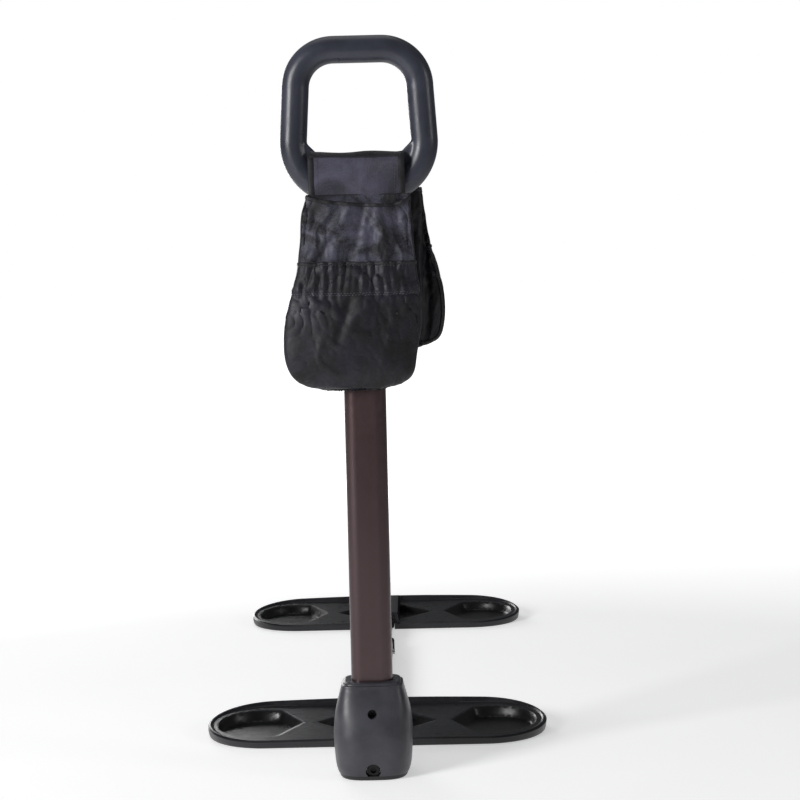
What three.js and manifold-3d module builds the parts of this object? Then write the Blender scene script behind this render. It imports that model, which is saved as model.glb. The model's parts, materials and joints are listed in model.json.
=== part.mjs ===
// A floor-standing stand-assist handle that furniture legs hold down: a padded loop handle on a
// telescopic post, a moulded shoe, a telescopic floor bar and two oblong trays for furniture legs.
// Units are millimetres. +Z is up, +Y runs under the furniture, +X is to the right of a person
// who faces the furniture. The origin is on the floor under the axis of the post.
import * as THREE from 'three';
import { mergeVertices } from 'three/addons/utils/BufferGeometryUtils.js';
import Module from 'manifold-3d';

const wasm = await Module();
wasm.setup();

// ---- driving dimensions ----
const GAP = 0.3; // clearance between neighbouring pieces
const TOTAL_HEIGHT = 762; // floor to the top of the grip
const WALL = 2; // steel tube wall

const GRIP_RADIUS = 14;
const CORE_RADIUS = 9.5;
const LOOP_TOP = TOTAL_HEIGHT - GRIP_RADIUS; // centreline of the loop's upper run
const LOOP_BOTTOM = 604; // centreline of the loop's lower run
const LOOP_TOP_HALF = 63.5; // half width of the centreline where the upper corners start
const LOOP_LOW_HALF = 67; // half width of the centreline where the lower corners start
const UPPER_CORNER = 39;
const LOWER_CORNER = 50;
const WEB_TOP = 639; // the flat floor of the hand opening
const WEB_FILLET = 8;
const WEB_THICKNESS = 16;

const POST = { width: 43, depth: 30, corner: 12, low: 12, high: 500 };
const INNER_POST = { width: 36, depth: 23, corner: 9.5, low: 300, high: 588 };
const COLLAR = { width: 47, depth: 34, corner: 13.5, high: 508, skirt: 9 };
const HEIGHT_BUTTON_Z = 434.5;
const HEIGHT_STEP = 12.7; // pitch of the height holes
const HEIGHT_STEPS_DOWN = 2;
const HEIGHT_STEPS_UP = 4;
const HEIGHT_BUTTON_RADIUS = 4.2;

const SHOE_HIGH = 98;
const POST_BOLT_Z = 68.5;
const BAR = { width: 25.4, height: 18, corner: 3, middle: 10.5, front: -30, rear: 600 };
const INNER_BAR = { width: 20.4, height: 13, corner: 2, wall: 1.6, front: 470, rear: 895 };
const LENGTH_BUTTON_Y = 560;
const LENGTH_STEP = 23; // pitch of the length holes
const LENGTH_STEPS = 6;
const LENGTH_BUTTON_RADIUS = 3.5;

const PAN = { length: 381, width: 140, wall: 4.5, high: 24, deck: 17, floor: 4 };
const PAN_NEAR_HIGH = 9.6; // height of the rim's near side; the far side has the full height
const PAN_END_HIGH = 20; // what the full height falls to at the ends
const FRONT_PAN_Y = 170;
const PAN_SPACING = 660; // tray centre to tray centre, at the bar's longest setting
const REAR_PAN_Y = FRONT_PAN_Y + PAN_SPACING;
const PAN_SCREW_OFFSET = 45;
const PAN_SCREW_RADIUS = 2.5;
const RIDGE_WIDTH = 34; // the raised middle of a tray, over the bar
const CUP = { centre: 130, radius: 48, tip: 52 }; // tip: distance of its point from its centre
const WEDGE = { near: 20, waist: 44, far: 68, half: 38 }; // the pointed pocket beside the bar

const POUCH_BACK = 18.8; // distance of the bags' inner faces from the post's axis
const SADDLE = { width: 84, shift: -4, inner: 15.4, bend: 10, low: 606 };
const FABRIC = 3;

const BEYOND = 60; // reach of a cut that has to pass right through the post or the shoe
const FRONT_POCKET_TOP = 527;
const REAR_POCKET_TOP = 540;
const POCKET_SWELL = 8;

// ---- materials ----
function finish(color, roughness, metalness) {
  return new THREE.MeshStandardMaterial({ color, roughness, metalness });
}

const paint = finish(0x4a3a3c, 0.38, 0.5);
const steel = finish(0x9a9b9e, 0.35, 1);
const rubber = finish(0x3a3a42, 0.62, 0);
const plastic = finish(0x47474c, 0.5, 0);
const trayPlastic = finish(0x2c2c31, 0.42, 0);
const fabric = finish(0x2b2a34, 0.85, 0);

// ---- solids: meshes in, meshes out, with joins and cuts between ----
function solidOf(geometry) {
  const bare = geometry.index ? geometry.toNonIndexed() : geometry.clone();
  bare.deleteAttribute('normal');
  bare.deleteAttribute('uv');
  const merged = mergeVertices(bare, 1e-4);
  return new wasm.Manifold(
    new wasm.Mesh({
      numProp: 3,
      vertProperties: new Float32Array(merged.attributes.position.array),
      triVerts: new Uint32Array(merged.index.array),
    }),
  );
}

function geometryOf(solid) {
  const mesh = solid.getMesh();
  const geometry = new THREE.BufferGeometry();
  geometry.setAttribute('position', new THREE.BufferAttribute(mesh.vertProperties, 3));
  geometry.setIndex(new THREE.BufferAttribute(mesh.triVerts, 1));
  return geometry;
}

function cut(solid, ...tools) {
  return tools.reduce((rest, tool) => rest.subtract(tool), solid);
}

function join(solid, ...others) {
  return others.reduce((sum, other) => sum.add(other), solid);
}

const object = new THREE.Group();

function addPart(name, solid, material) {
  const mesh = new THREE.Mesh(geometryOf(solid), material);
  mesh.name = name;
  object.add(mesh);
}

// ---- basic shapes ----
function roundedShape(width, height, corner, target = new THREE.Shape()) {
  const x = width / 2 - corner;
  const y = height / 2 - corner;
  target.absarc(x, y, corner, 0, Math.PI / 2);
  target.absarc(-x, y, corner, Math.PI / 2, Math.PI);
  target.absarc(-x, -y, corner, Math.PI, 1.5 * Math.PI);
  target.absarc(x, -y, corner, 1.5 * Math.PI, 2 * Math.PI);
  target.closePath();
  return target;
}

function extrude(shape, depth, curveSegments = 4) {
  return new THREE.ExtrudeGeometry(shape, { depth, bevelEnabled: false, curveSegments });
}

// An upright prism with a rounded rectangular plan.
function prism(width, depth, corner, low, high) {
  return solidOf(extrude(roundedShape(width, depth, corner), high - low).translate(0, 0, low));
}

// A bar along Y with a rounded rectangular section, centred at height middle.
function barAlongY(width, height, corner, front, rear, middle = BAR.middle) {
  const geometry = extrude(roundedShape(width, height, corner), rear - front, 3);
  return solidOf(geometry.rotateX(-Math.PI / 2).translate(0, front, middle));
}

function box(x, y, z, width, depth, height) {
  return solidOf(new THREE.BoxGeometry(width, depth, height).translate(x, y, z));
}

// A round pin between two points.
function pin(from, to, radius, sides = 12) {
  const start = new THREE.Vector3(...from);
  const run = new THREE.Vector3(...to).sub(start);
  const turn = new THREE.Quaternion().setFromUnitVectors(
    new THREE.Vector3(0, 1, 0),
    run.clone().normalize(),
  );
  const geometry = new THREE.CylinderGeometry(radius, radius, run.length(), sides);
  geometry.translate(0, run.length() / 2, 0).applyQuaternion(turn);
  return solidOf(geometry.translate(start.x, start.y, start.z));
}

// A closed skin through a stack of rings that all have the same number of points.
function loft(rings) {
  const count = rings[0].length;
  const points = rings.flat();
  const faces = [];
  for (let ring = 0; ring < rings.length - 1; ring += 1) {
    for (let side = 0; side < count; side += 1) {
      const next = (side + 1) % count;
      const a = ring * count + side;
      const b = ring * count + next;
      faces.push(a, b, b + count, a, b + count, a + count);
    }
  }
  const last = (rings.length - 1) * count;
  for (let side = 1; side < count - 1; side += 1) {
    faces.push(0, side + 1, side);
    faces.push(last, last + side, last + side + 1);
  }
  const geometry = new THREE.BufferGeometry().setFromPoints(points);
  geometry.setIndex(faces);
  return solidOf(geometry);
}

// A level oval ring: power 2 is an ellipse, and a higher power is closer to a rectangle.
function ovalRing({ z, x = 0, y = 0, halfWidth, halfDepth, power = 3, sides = 24 }) {
  const bend = (value) => Math.sign(value) * Math.abs(value) ** (2 / power);
  return Array.from({ length: sides }, (_, side) => {
    const angle = (2 * Math.PI * side) / sides;
    return new THREE.Vector3(
      x + halfWidth * bend(Math.cos(angle)),
      y + halfDepth * bend(Math.sin(angle)),
      z,
    );
  });
}

// ---- the loop handle ----
function corner(from, to, mid) {
  const pull = 0.5523; // Bezier handle length that makes a quarter circle
  return new THREE.CubicBezierCurve3(
    from,
    from.clone().lerp(mid, pull),
    to.clone().lerp(mid, pull),
    to,
  );
}

// The loop's centreline in the XZ plane, from the neck round to the neck.
function loopPath(neckHalf) {
  const at = (x, z) => new THREE.Vector3(x, 0, z);
  const lowX = LOOP_LOW_HALF - LOWER_CORNER;
  const topX = LOOP_TOP_HALF - UPPER_CORNER;
  const sideLow = at(LOOP_LOW_HALF, LOOP_BOTTOM + LOWER_CORNER);
  const sideHigh = at(LOOP_TOP_HALF, LOOP_TOP - UPPER_CORNER);
  const mirror = (point) => at(-point.x, point.z);
  const path = new THREE.CurvePath();
  path.add(new THREE.LineCurve3(at(neckHalf, LOOP_BOTTOM), at(lowX, LOOP_BOTTOM)));
  path.add(corner(at(lowX, LOOP_BOTTOM), sideLow, at(LOOP_LOW_HALF, LOOP_BOTTOM)));
  path.add(new THREE.LineCurve3(sideLow, sideHigh));
  path.add(corner(sideHigh, at(topX, LOOP_TOP), at(LOOP_TOP_HALF, LOOP_TOP)));
  path.add(new THREE.LineCurve3(at(topX, LOOP_TOP), at(-topX, LOOP_TOP)));
  path.add(corner(at(-topX, LOOP_TOP), mirror(sideHigh), at(-LOOP_TOP_HALF, LOOP_TOP)));
  path.add(new THREE.LineCurve3(mirror(sideHigh), mirror(sideLow)));
  path.add(corner(mirror(sideLow), at(-lowX, LOOP_BOTTOM), at(-LOOP_LOW_HALF, LOOP_BOTTOM)));
  path.add(new THREE.LineCurve3(at(-lowX, LOOP_BOTTOM), at(-neckHalf, LOOP_BOTTOM)));
  return path;
}

function sweepLoop(radius, neckHalf, steps = 40, curveSegments = 6) {
  const section = new THREE.Shape();
  section.absarc(0, 0, radius, 0, 2 * Math.PI);
  const extrudePath = loopPath(neckHalf);
  const settings = { steps, curveSegments, bevelEnabled: false, extrudePath };
  return solidOf(new THREE.ExtrudeGeometry(section, settings));
}

const NECK = { width: 32, thickness: 9, high: 626, plugLow: 556 };

function handleCore() {
  const reach = NECK.width / 2 + GAP;
  return cut(sweepLoop(CORE_RADIUS, reach, 34, 5), sweepLoop(CORE_RADIUS - WALL, reach - 1, 34, 5));
}

function handleNeck() {
  const tongueHeight = NECK.high - INNER_POST.high - GAP;
  const tongue = box(0, 0, NECK.high - tongueHeight / 2, NECK.width, NECK.thickness, tongueHeight);
  const inside = 2 * (WALL + GAP);
  const plug = prism(
    INNER_POST.width - inside,
    INNER_POST.depth - inside,
    INNER_POST.corner - WALL,
    NECK.plugLow,
    INNER_POST.high + 1,
  );
  return cut(join(plug, tongue), neckRivetHole());
}

const RIVET = { z: 572, radius: 3, head: 5.5, headHeight: 1.5 };

function neckRivetHole() {
  const reach = INNER_POST.depth;
  return pin([0, -reach, RIVET.z], [0, reach, RIVET.z], RIVET.radius + GAP);
}

function neckRivet() {
  const face = INNER_POST.depth / 2 + GAP;
  const outer = face + RIVET.headHeight;
  return join(
    pin([0, -outer, RIVET.z], [0, outer, RIVET.z], RIVET.radius),
    pin([0, -outer, RIVET.z], [0, -face, RIVET.z], RIVET.head),
    pin([0, face, RIVET.z], [0, outer, RIVET.z], RIVET.head),
  );
}

// The web closes the lower part of the loop and gives the hand opening a flat floor.
function gripWeb() {
  const inset = 4; // the web ends inside the padded tube
  const side = LOOP_LOW_HALF - inset;
  const arcX = LOOP_LOW_HALF - LOWER_CORNER;
  const arcZ = LOOP_BOTTOM + LOWER_CORNER;
  const arc = LOWER_CORNER - inset;
  const inside = LOOP_LOW_HALF - GRIP_RADIUS; // the inner faces of the two arms
  const shape = new THREE.Shape();
  shape.moveTo(-side, arcZ);
  shape.lineTo(-inside, WEB_TOP + WEB_FILLET);
  shape.quadraticCurveTo(-inside, WEB_TOP, -inside + WEB_FILLET, WEB_TOP);
  shape.lineTo(inside - WEB_FILLET, WEB_TOP);
  shape.quadraticCurveTo(inside, WEB_TOP, inside, WEB_TOP + WEB_FILLET);
  shape.lineTo(side, arcZ);
  shape.absarc(arcX, arcZ, arc, 0, -Math.PI / 2, true);
  shape.absarc(-arcX, arcZ, arc, -Math.PI / 2, -Math.PI, true);
  shape.closePath();
  const geometry = extrude(shape, WEB_THICKNESS).rotateX(Math.PI / 2);
  return solidOf(geometry.translate(0, WEB_THICKNESS / 2, 0));
}

function gripCover() {
  const slot = box(
    0,
    0,
    (NECK.high + LOOP_BOTTOM) / 2 - GRIP_RADIUS,
    NECK.width + 2 * GAP,
    NECK.thickness + 2 * GAP,
    NECK.high - LOOP_BOTTOM + 2 * GRIP_RADIUS + 2 * GAP,
  );
  const padded = join(sweepLoop(GRIP_RADIUS, 0), gripWeb());
  return cut(padded, sweepLoop(CORE_RADIUS + 2 * GAP, NECK.width / 2, 34, 5), slot);
}

// ---- the telescopic post ----
function heightHoles() {
  const holes = [];
  for (let step = -HEIGHT_STEPS_DOWN; step <= HEIGHT_STEPS_UP; step += 1) {
    const z = HEIGHT_BUTTON_Z + step * HEIGHT_STEP;
    holes.push(pin([0, -POST.depth, z], [0, -3, z], HEIGHT_BUTTON_RADIUS + GAP));
  }
  return holes;
}

function postBoltHole() {
  return pin([0, -BEYOND, POST_BOLT_Z], [0, BEYOND, POST_BOLT_Z], POST_BOLT.radius + GAP);
}

function tube(section, low, high, wall = WALL) {
  const { width, depth, corner: radius } = section;
  const hollow = prism(width - 2 * wall, depth - 2 * wall, radius - wall, low - 1, high + 1);
  return cut(prism(width, depth, radius, low, high), hollow);
}

function outerPost() {
  const passage = box(0, 0, BAR.middle, BAR.width + 2 * GAP, 2 * POST.depth, BAR.height + 2 * GAP);
  return cut(tube(POST, POST.low, POST.high), ...heightHoles(), postBoltHole(), passage);
}

function innerPost() {
  const hole = pin(
    [0, -POST.depth, HEIGHT_BUTTON_Z],
    [0, -3, HEIGHT_BUTTON_Z],
    HEIGHT_BUTTON_RADIUS + GAP,
  );
  return cut(tube(INNER_POST, INNER_POST.low, INNER_POST.high), hole, neckRivetHole());
}

function postCollar() {
  const bore = prism(
    INNER_POST.width + 2 * GAP,
    INNER_POST.depth + 2 * GAP,
    INNER_POST.corner + GAP,
    POST.high - COLLAR.skirt - 1,
    COLLAR.high + 1,
  );
  const inside = 2 * (WALL + GAP);
  const cap = prism(COLLAR.width, COLLAR.depth, COLLAR.corner, POST.high + GAP, COLLAR.high);
  const skirt = prism(
    POST.width - inside,
    POST.depth - inside,
    POST.corner - WALL,
    POST.high - COLLAR.skirt,
    POST.high + 1,
  );
  return cut(join(cap, skirt), bore);
}

function innerPostGlide() {
  const inside = 2 * (WALL + GAP);
  const low = INNER_POST.low - 14;
  const shoulder = prism(
    POST.width - inside,
    POST.depth - inside,
    POST.corner - WALL,
    low,
    INNER_POST.low - GAP,
  );
  const spigot = prism(
    INNER_POST.width - inside,
    INNER_POST.depth - inside,
    INNER_POST.corner - WALL,
    INNER_POST.low - 2,
    INNER_POST.low + 14,
  );
  const hollow = prism(INNER_POST.width - 10, INNER_POST.depth - 10, 4, low - 1, INNER_POST.low + 15);
  return cut(join(shoulder, spigot), hollow);
}

const BUTTON_PROUD = 3.5;
const BUTTON_FLANGE = 1.2;
const BUTTON_LIP = 1.8; // how far the flange reaches past the button
const BUTTON_PLAY = 0.7; // between the flange and the inner post's wall

function heightButton() {
  const inner = -(INNER_POST.depth / 2 - WALL) + BUTTON_PLAY;
  const z = HEIGHT_BUTTON_Z;
  return join(
    pin([0, -POST.depth / 2 - BUTTON_PROUD, z], [0, inner + 0.1, z], HEIGHT_BUTTON_RADIUS),
    pin([0, inner, z], [0, inner + BUTTON_FLANGE, z], HEIGHT_BUTTON_RADIUS + BUTTON_LIP),
  );
}

// A leaf spring folded into a V, drawn as its side view and given a width.
function leafSpring(frontFace, backFace, length, thickness, width) {
  const straight = -12; // the legs are parallel down to here
  const middle = (frontFace + backFace) / 2;
  const shape = new THREE.Shape();
  shape.moveTo(frontFace, 0);
  shape.lineTo(frontFace, straight);
  shape.lineTo(middle - thickness, -length);
  shape.lineTo(middle + thickness, -length);
  shape.lineTo(backFace, straight);
  shape.lineTo(backFace, 0);
  shape.lineTo(backFace - thickness, 0);
  shape.lineTo(backFace - thickness, straight);
  shape.lineTo(middle, -length + 3);
  shape.lineTo(frontFace + thickness, straight);
  shape.lineTo(frontFace + thickness, 0);
  shape.closePath();
  return extrude(shape, width).translate(0, 0, -width / 2);
}

function heightButtonSpring() {
  const face = INNER_POST.depth / 2 - WALL;
  const front = -face + BUTTON_PLAY + BUTTON_FLANGE + GAP;
  const geometry = leafSpring(front, face - GAP, 52, 0.8, 8);
  geometry.rotateX(Math.PI / 2).rotateZ(Math.PI / 2);
  return solidOf(geometry.translate(0, 0, HEIGHT_BUTTON_Z + 5));
}

// ---- the shoe and the joint inside it ----
const POST_BOLT = { radius: 2.6, head: 4.2, headHeight: 5, recess: 4.7, nut: 4.6, nutHeight: 4.5 };
const BAR_BOLT = { radius: 4, head: 6.6, headHeight: 8, recess: 7.8, length: 26 };

// Half width and half depth of the shoe at each height.
const SHOE_PROFILE = [
  [5, 35, 41],
  [14, 37.5, 44],
  [26, 39.3, 45],
  [42, 40, 44],
  [55, 39.4, 41.5],
  [66, 38, 38],
  [77, 35.3, 33.5],
  [90, 32, 27.5],
  [95, 31, 26],
  [SHOE_HIGH, 29, 24.2],
];
const SOLE_HIGH = 5;
const SHOE_WALL = 3.5;
const SHOE_HOLLOW_HIGH = 82;
const BOLT_SEAT = POST.depth / 2 + 7; // distance of the post bolt's head from the axis

function shoeBody(inset, low, high) {
  const rings = SHOE_PROFILE.filter(([z]) => z > low && z < high);
  const sizeAt = (z) => {
    const above = SHOE_PROFILE.findIndex(([height]) => height >= z);
    const [zb, wb, db] = SHOE_PROFILE[Math.max(above, 1)];
    const [za, wa, da] = SHOE_PROFILE[Math.max(above, 1) - 1];
    const share = (z - za) / (zb - za);
    return [z, wa + (wb - wa) * share, da + (db - da) * share];
  };
  const all = [sizeAt(low), ...rings, sizeAt(high)];
  return loft(
    all.map(([z, halfWidth, halfDepth]) =>
      ovalRing({ z, halfWidth: halfWidth - inset, halfDepth: halfDepth - inset, power: 3.4 }),
    ),
  );
}

function shoeCover() {
  const postHole = prism(
    POST.width + 2 * GAP,
    POST.depth + 2 * GAP,
    POST.corner + GAP,
    SHOE_HOLLOW_HIGH - 2,
    SHOE_HIGH + 1,
  );
  const at = (y, z = POST_BOLT_Z) => [0, y, z];
  const bossRadius = POST_BOLT.recess + 3;
  const boss = pin(at(1 - SHOE_PROFILE[5][2]), at(-POST.depth / 2 - GAP), bossRadius);
  const shank = pin(at(-BEYOND), at(0), POST_BOLT.radius + GAP);
  const recess = pin(at(-BEYOND), at(-BOLT_SEAT), POST_BOLT.recess);
  const lower = pin(at(-BEYOND, BAR.middle), at(BAR.front - 3, BAR.middle), BAR_BOLT.recess);
  const exit = box(0, BEYOND, BAR.middle, BAR.width + 2 * GAP, 100, BAR.height + 2 * GAP);
  const nutAccess = pin(at(10), at(BEYOND), POST_BOLT.recess);
  const shell = cut(
    shoeBody(0, SOLE_HIGH, SHOE_HIGH),
    shoeBody(SHOE_WALL, SOLE_HIGH - 2, SHOE_HOLLOW_HIGH),
    postHole,
  );
  return cut(join(shell, boss), shank, recess, lower, exit, nutAccess);
}

function shoeSole() {
  const foot = loft([
    ovalRing({ z: 0, halfWidth: 30, halfDepth: 37, power: 3.4 }),
    ovalRing({ z: 1.5, halfWidth: 32.6, halfDepth: 39.2, power: 3.4 }),
    ovalRing({ z: SOLE_HIGH - GAP, halfWidth: 34.4, halfDepth: 40.6, power: 3.4 }),
  ]);
  const trench = box(0, 20, BAR.middle, BAR.width + 2 * GAP, 110, BAR.height + 2 * GAP);
  const toe = box(0, -45, BAR.middle, 2 * BAR_BOLT.recess, 30, BAR.height - 2);
  return cut(foot, trench, toe);
}

function baseSpigot() {
  const inside = 2 * (WALL + GAP);
  const width = POST.width - inside;
  const depth = POST.depth - inside;
  const low = BAR.middle + BAR.height / 2 + GAP;
  const high = 120;
  const wall = 2.5;
  const radius = POST.corner - WALL;
  const hollow = prism(width - 2 * wall, depth - 2 * wall, radius - wall, low - 1, high + 1);
  return cut(prism(width, depth, radius, low, high), hollow, postBoltHole());
}

function postBolt() {
  const seat = -BOLT_SEAT - GAP;
  const z = POST_BOLT_Z;
  const socket = pin([0, seat - POST_BOLT.headHeight - 1, z], [0, seat - 2.5, z], 2.2, 6);
  const head = pin([0, seat - POST_BOLT.headHeight, z], [0, seat, z], POST_BOLT.head);
  const shank = pin([0, seat - 1, z], [0, BOLT_SEAT, z], POST_BOLT.radius);
  return cut(join(head, shank), socket);
}

function postNut() {
  const face = POST.depth / 2 + GAP;
  const z = POST_BOLT_Z;
  const block = pin([0, face, z], [0, face + POST_BOLT.nutHeight, z], POST_BOLT.nut, 6);
  return cut(block, postBoltHole());
}

function barBolt() {
  const seat = BAR.front - GAP;
  const z = BAR.middle;
  const socket = pin([0, seat - BAR_BOLT.headHeight - 1, z], [0, seat - 4, z], 3.5, 6);
  const head = pin([0, seat - BAR_BOLT.headHeight, z], [0, seat, z], BAR_BOLT.head);
  const shank = pin([0, seat - 1, z], [0, BAR.front + BAR_BOLT.length, z], BAR_BOLT.radius);
  return cut(join(head, shank), socket);
}

// ---- the telescopic floor bar ----
function barHollow(front, rear) {
  const inside = 2 * WALL;
  return barAlongY(BAR.width - inside, BAR.height - inside, 1.5, front, rear);
}

function barThreadBlock() {
  const inside = 2 * (WALL + GAP);
  const rear = BAR.front + BAR_BOLT.length + 4;
  const block = barAlongY(BAR.width - inside, BAR.height - inside, 1, BAR.front, rear);
  const thread = pin(
    [0, BAR.front - 5, BAR.middle],
    [0, BAR.front + BAR_BOLT.length + GAP, BAR.middle],
    BAR_BOLT.radius + GAP,
  );
  return cut(block, thread);
}

function lengthHoles() {
  const holes = [];
  for (let step = 0; step <= LENGTH_STEPS; step += 1) {
    const y = LENGTH_BUTTON_Y - step * LENGTH_STEP;
    holes.push(pin([3, y, BAR.middle], [30, y, BAR.middle], LENGTH_BUTTON_RADIUS + GAP));
  }
  return holes;
}

function panScrewHoles(middle) {
  return [-1, 1].map((side) => {
    const y = middle + side * PAN_SCREW_OFFSET;
    return pin([0, y, BAR.middle], [0, y, PAN.high + 5], PAN_SCREW_RADIUS + GAP);
  });
}

function baseBarOuter() {
  const skin = barAlongY(BAR.width, BAR.height, BAR.corner, BAR.front, BAR.rear);
  const hollow = barHollow(BAR.front - 1, BAR.rear + 1);
  return cut(skin, hollow, ...lengthHoles(), ...panScrewHoles(FRONT_PAN_Y));
}

function baseBarInner() {
  const { width, height, corner: radius, wall, front, rear } = INNER_BAR;
  const skin = barAlongY(width, height, radius, front, rear);
  const hollow = barAlongY(width - 2 * wall, height - 2 * wall, 0.8, front - 1, rear + 1);
  const button = pin(
    [3, LENGTH_BUTTON_Y, BAR.middle],
    [30, LENGTH_BUTTON_Y, BAR.middle],
    LENGTH_BUTTON_RADIUS + GAP,
  );
  return cut(skin, hollow, button, ...panScrewHoles(REAR_PAN_Y));
}

function barCollar() {
  const lip = 6;
  const cap = barAlongY(BAR.width + 4, BAR.height + 1, 4, BAR.rear + GAP, BAR.rear + lip, 10.3);
  const bore = barAlongY(
    INNER_BAR.width + 2 * GAP,
    INNER_BAR.height + 2 * GAP,
    INNER_BAR.corner,
    BAR.rear,
    BAR.rear + lip + 1,
  );
  return cut(cap, bore);
}

function barPlug(end, outward) {
  const { width, height, wall } = INNER_BAR;
  const inside = 2 * (wall + GAP);
  const ordered = (a, b) => [Math.min(a, b), Math.max(a, b)];
  const cap = barAlongY(width, height, 2, ...ordered(end + outward * GAP, end + outward * 4));
  const stem = barAlongY(
    width - inside,
    height - inside,
    0.8,
    ...ordered(end + outward, end - outward * 12),
  );
  return join(cap, stem);
}

function lengthButton() {
  const inner = INNER_BAR.width / 2 - INNER_BAR.wall - 0.5;
  const at = (x) => [x, LENGTH_BUTTON_Y, BAR.middle];
  return join(
    pin(at(BAR.width / 2 + 3), at(inner - 0.1), LENGTH_BUTTON_RADIUS),
    pin(at(inner), at(inner - 1), LENGTH_BUTTON_RADIUS + 0.9),
  );
}

function lengthButtonSpring() {
  const face = INNER_BAR.width / 2 - INNER_BAR.wall;
  const geometry = leafSpring(-(face - 0.5 - 1 - GAP), face - GAP, 42, 0.7, 6);
  geometry.rotateZ(Math.PI);
  return solidOf(geometry.translate(0, LENGTH_BUTTON_Y - 4.5, BAR.middle));
}

// ---- the trays that take the furniture legs ----
function stadium(length, width, steps = 10) {
  const radius = width / 2;
  const x = length / 2 - radius;
  const shape = new THREE.Shape();
  for (let step = 0; step < steps; step += 1) {
    const across = -x + (2 * x * step) / steps;
    if (step === 0) shape.moveTo(across, -radius);
    else shape.lineTo(across, -radius);
  }
  shape.absarc(x, 0, radius, -Math.PI / 2, Math.PI / 2);
  for (let step = 1; step < steps; step += 1) {
    shape.lineTo(x - (2 * x * step) / steps, radius);
  }
  shape.absarc(-x, 0, radius, Math.PI / 2, 1.5 * Math.PI);
  return shape;
}

// A drop-shaped pocket: round where the leg stands and pointed towards the middle of the tray.
function dropPocket(side) {
  const { centre, radius, tip } = CUP;
  const open = Math.acos(radius / tip);
  const shape = new THREE.Shape();
  shape.moveTo(centre - tip, 0);
  shape.absarc(centre, 0, radius, open - Math.PI, Math.PI - open);
  shape.closePath();
  const geometry = extrude(shape, PAN.high, 9).translate(0, 0, PAN.floor);
  return solidOf(side > 0 ? geometry : geometry.rotateZ(Math.PI));
}

// A smaller pointed pocket beside the bar's tunnel.
function pointedPocket(side) {
  const [near, waist, far] = [WEDGE.near, WEDGE.waist, WEDGE.far].map((x) => side * x);
  const { half } = WEDGE;
  const shape = new THREE.Shape();
  shape.moveTo(near, -half);
  shape.quadraticCurveTo(waist, -half * 0.8, far, 0);
  shape.quadraticCurveTo(waist, half * 0.8, near, half);
  shape.closePath();
  return solidOf(extrude(shape, PAN.high, 8).translate(0, 0, PAN.floor));
}

// The rim and the deck lean down towards the near side, and the rim falls a little towards both ends.
function lean(geometry) {
  const positions = geometry.attributes.position;
  const flat = 30;
  const near = PAN_NEAR_HIGH / PAN.high;
  for (let index = 0; index < positions.count; index += 1) {
    const out = Math.max(Math.abs(positions.getX(index)) - flat, 0) / (PAN.length / 2 - flat);
    const onRim = positions.getZ(index) > PAN.high - 0.1;
    const fall = onRim ? (PAN.high - PAN_END_HIGH) * out ** 1.5 : 0;
    const share = near + (1 - near) * (positions.getY(index) / PAN.width + 0.5);
    positions.setZ(index, (positions.getZ(index) - fall) * share);
  }
  return geometry;
}

function pan(middle) {
  const outer = extrude(stadium(PAN.length, PAN.width), PAN.high, 9);
  const inner = extrude(stadium(PAN.length - 2 * PAN.wall, PAN.width - 2 * PAN.wall), PAN.high, 9);
  const recess = solidOf(inner.translate(0, 0, PAN.deck));
  const dish = solidOf(lean(geometryOf(cut(solidOf(outer), recess))));
  const ridge = box(0, 0, PAN.high / 2, RIDGE_WIDTH, PAN.width, PAN.high);
  const tunnelHigh = BAR.middle + BAR.height / 2 + GAP;
  const tunnel = box(0, 0, 0, BAR.width + 2 * GAP, PAN.width + 10, 2 * tunnelHigh);
  const pockets = [-1, 1].flatMap((side) => [dropPocket(side), pointedPocket(side)]);
  return cut(join(dish, ridge), tunnel, ...pockets, ...panScrewHoles(0)).translate([0, middle, 0]);
}

function panScrew(y) {
  const seat = PAN.high + GAP;
  const head = pin([0, y, seat], [0, y, seat + 2.6], 5.2);
  const shank = pin([0, y, BAR.middle + 3.5], [0, y, seat + 1], PAN_SCREW_RADIUS);
  const socket = pin([0, y, seat + 1], [0, y, seat + 4], 1.8, 6);
  return cut(join(head, shank), socket);
}

function rearPanSleeve() {
  const reach = PAN.width / 2 - 3;
  const front = REAR_PAN_Y - reach;
  const rear = REAR_PAN_Y + reach;
  const skin = barAlongY(BAR.width, BAR.height, BAR.corner, front, rear);
  const bore = barAlongY(
    INNER_BAR.width + 2 * GAP,
    INNER_BAR.height + 2 * GAP,
    INNER_BAR.corner,
    front - 1,
    rear + 1,
  );
  return cut(skin, bore, ...panScrewHoles(REAR_PAN_Y));
}

// ---- the saddle pouch ----
// Height, sideways shift, half width and thickness of the front bag, from its top to its bottom.
const FRONT_BAG = [
  [600, -2, 53, 14],
  [575, -3.5, 56.5, 16],
  [535, -4, 60.5, 19],
  [502, -6.5, 66, 21],
  [470, -10, 70, 22],
  [440, -13, 68.5, 21],
  [421, -12, 64, 18],
  [412, -11, 55, 12],
  [406, -10.5, 42, 7],
];
const REAR_BAG = [
  [606, 11, 53, 14],
  [579, 11, 56, 16],
  [553, 13, 58, 18],
  [520, 18, 63, 20],
  [490, 19, 67, 21],
  [466, 18, 67, 20],
  [452, 17.5, 62, 15],
  [445, 17, 50, 8],
];

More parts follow.
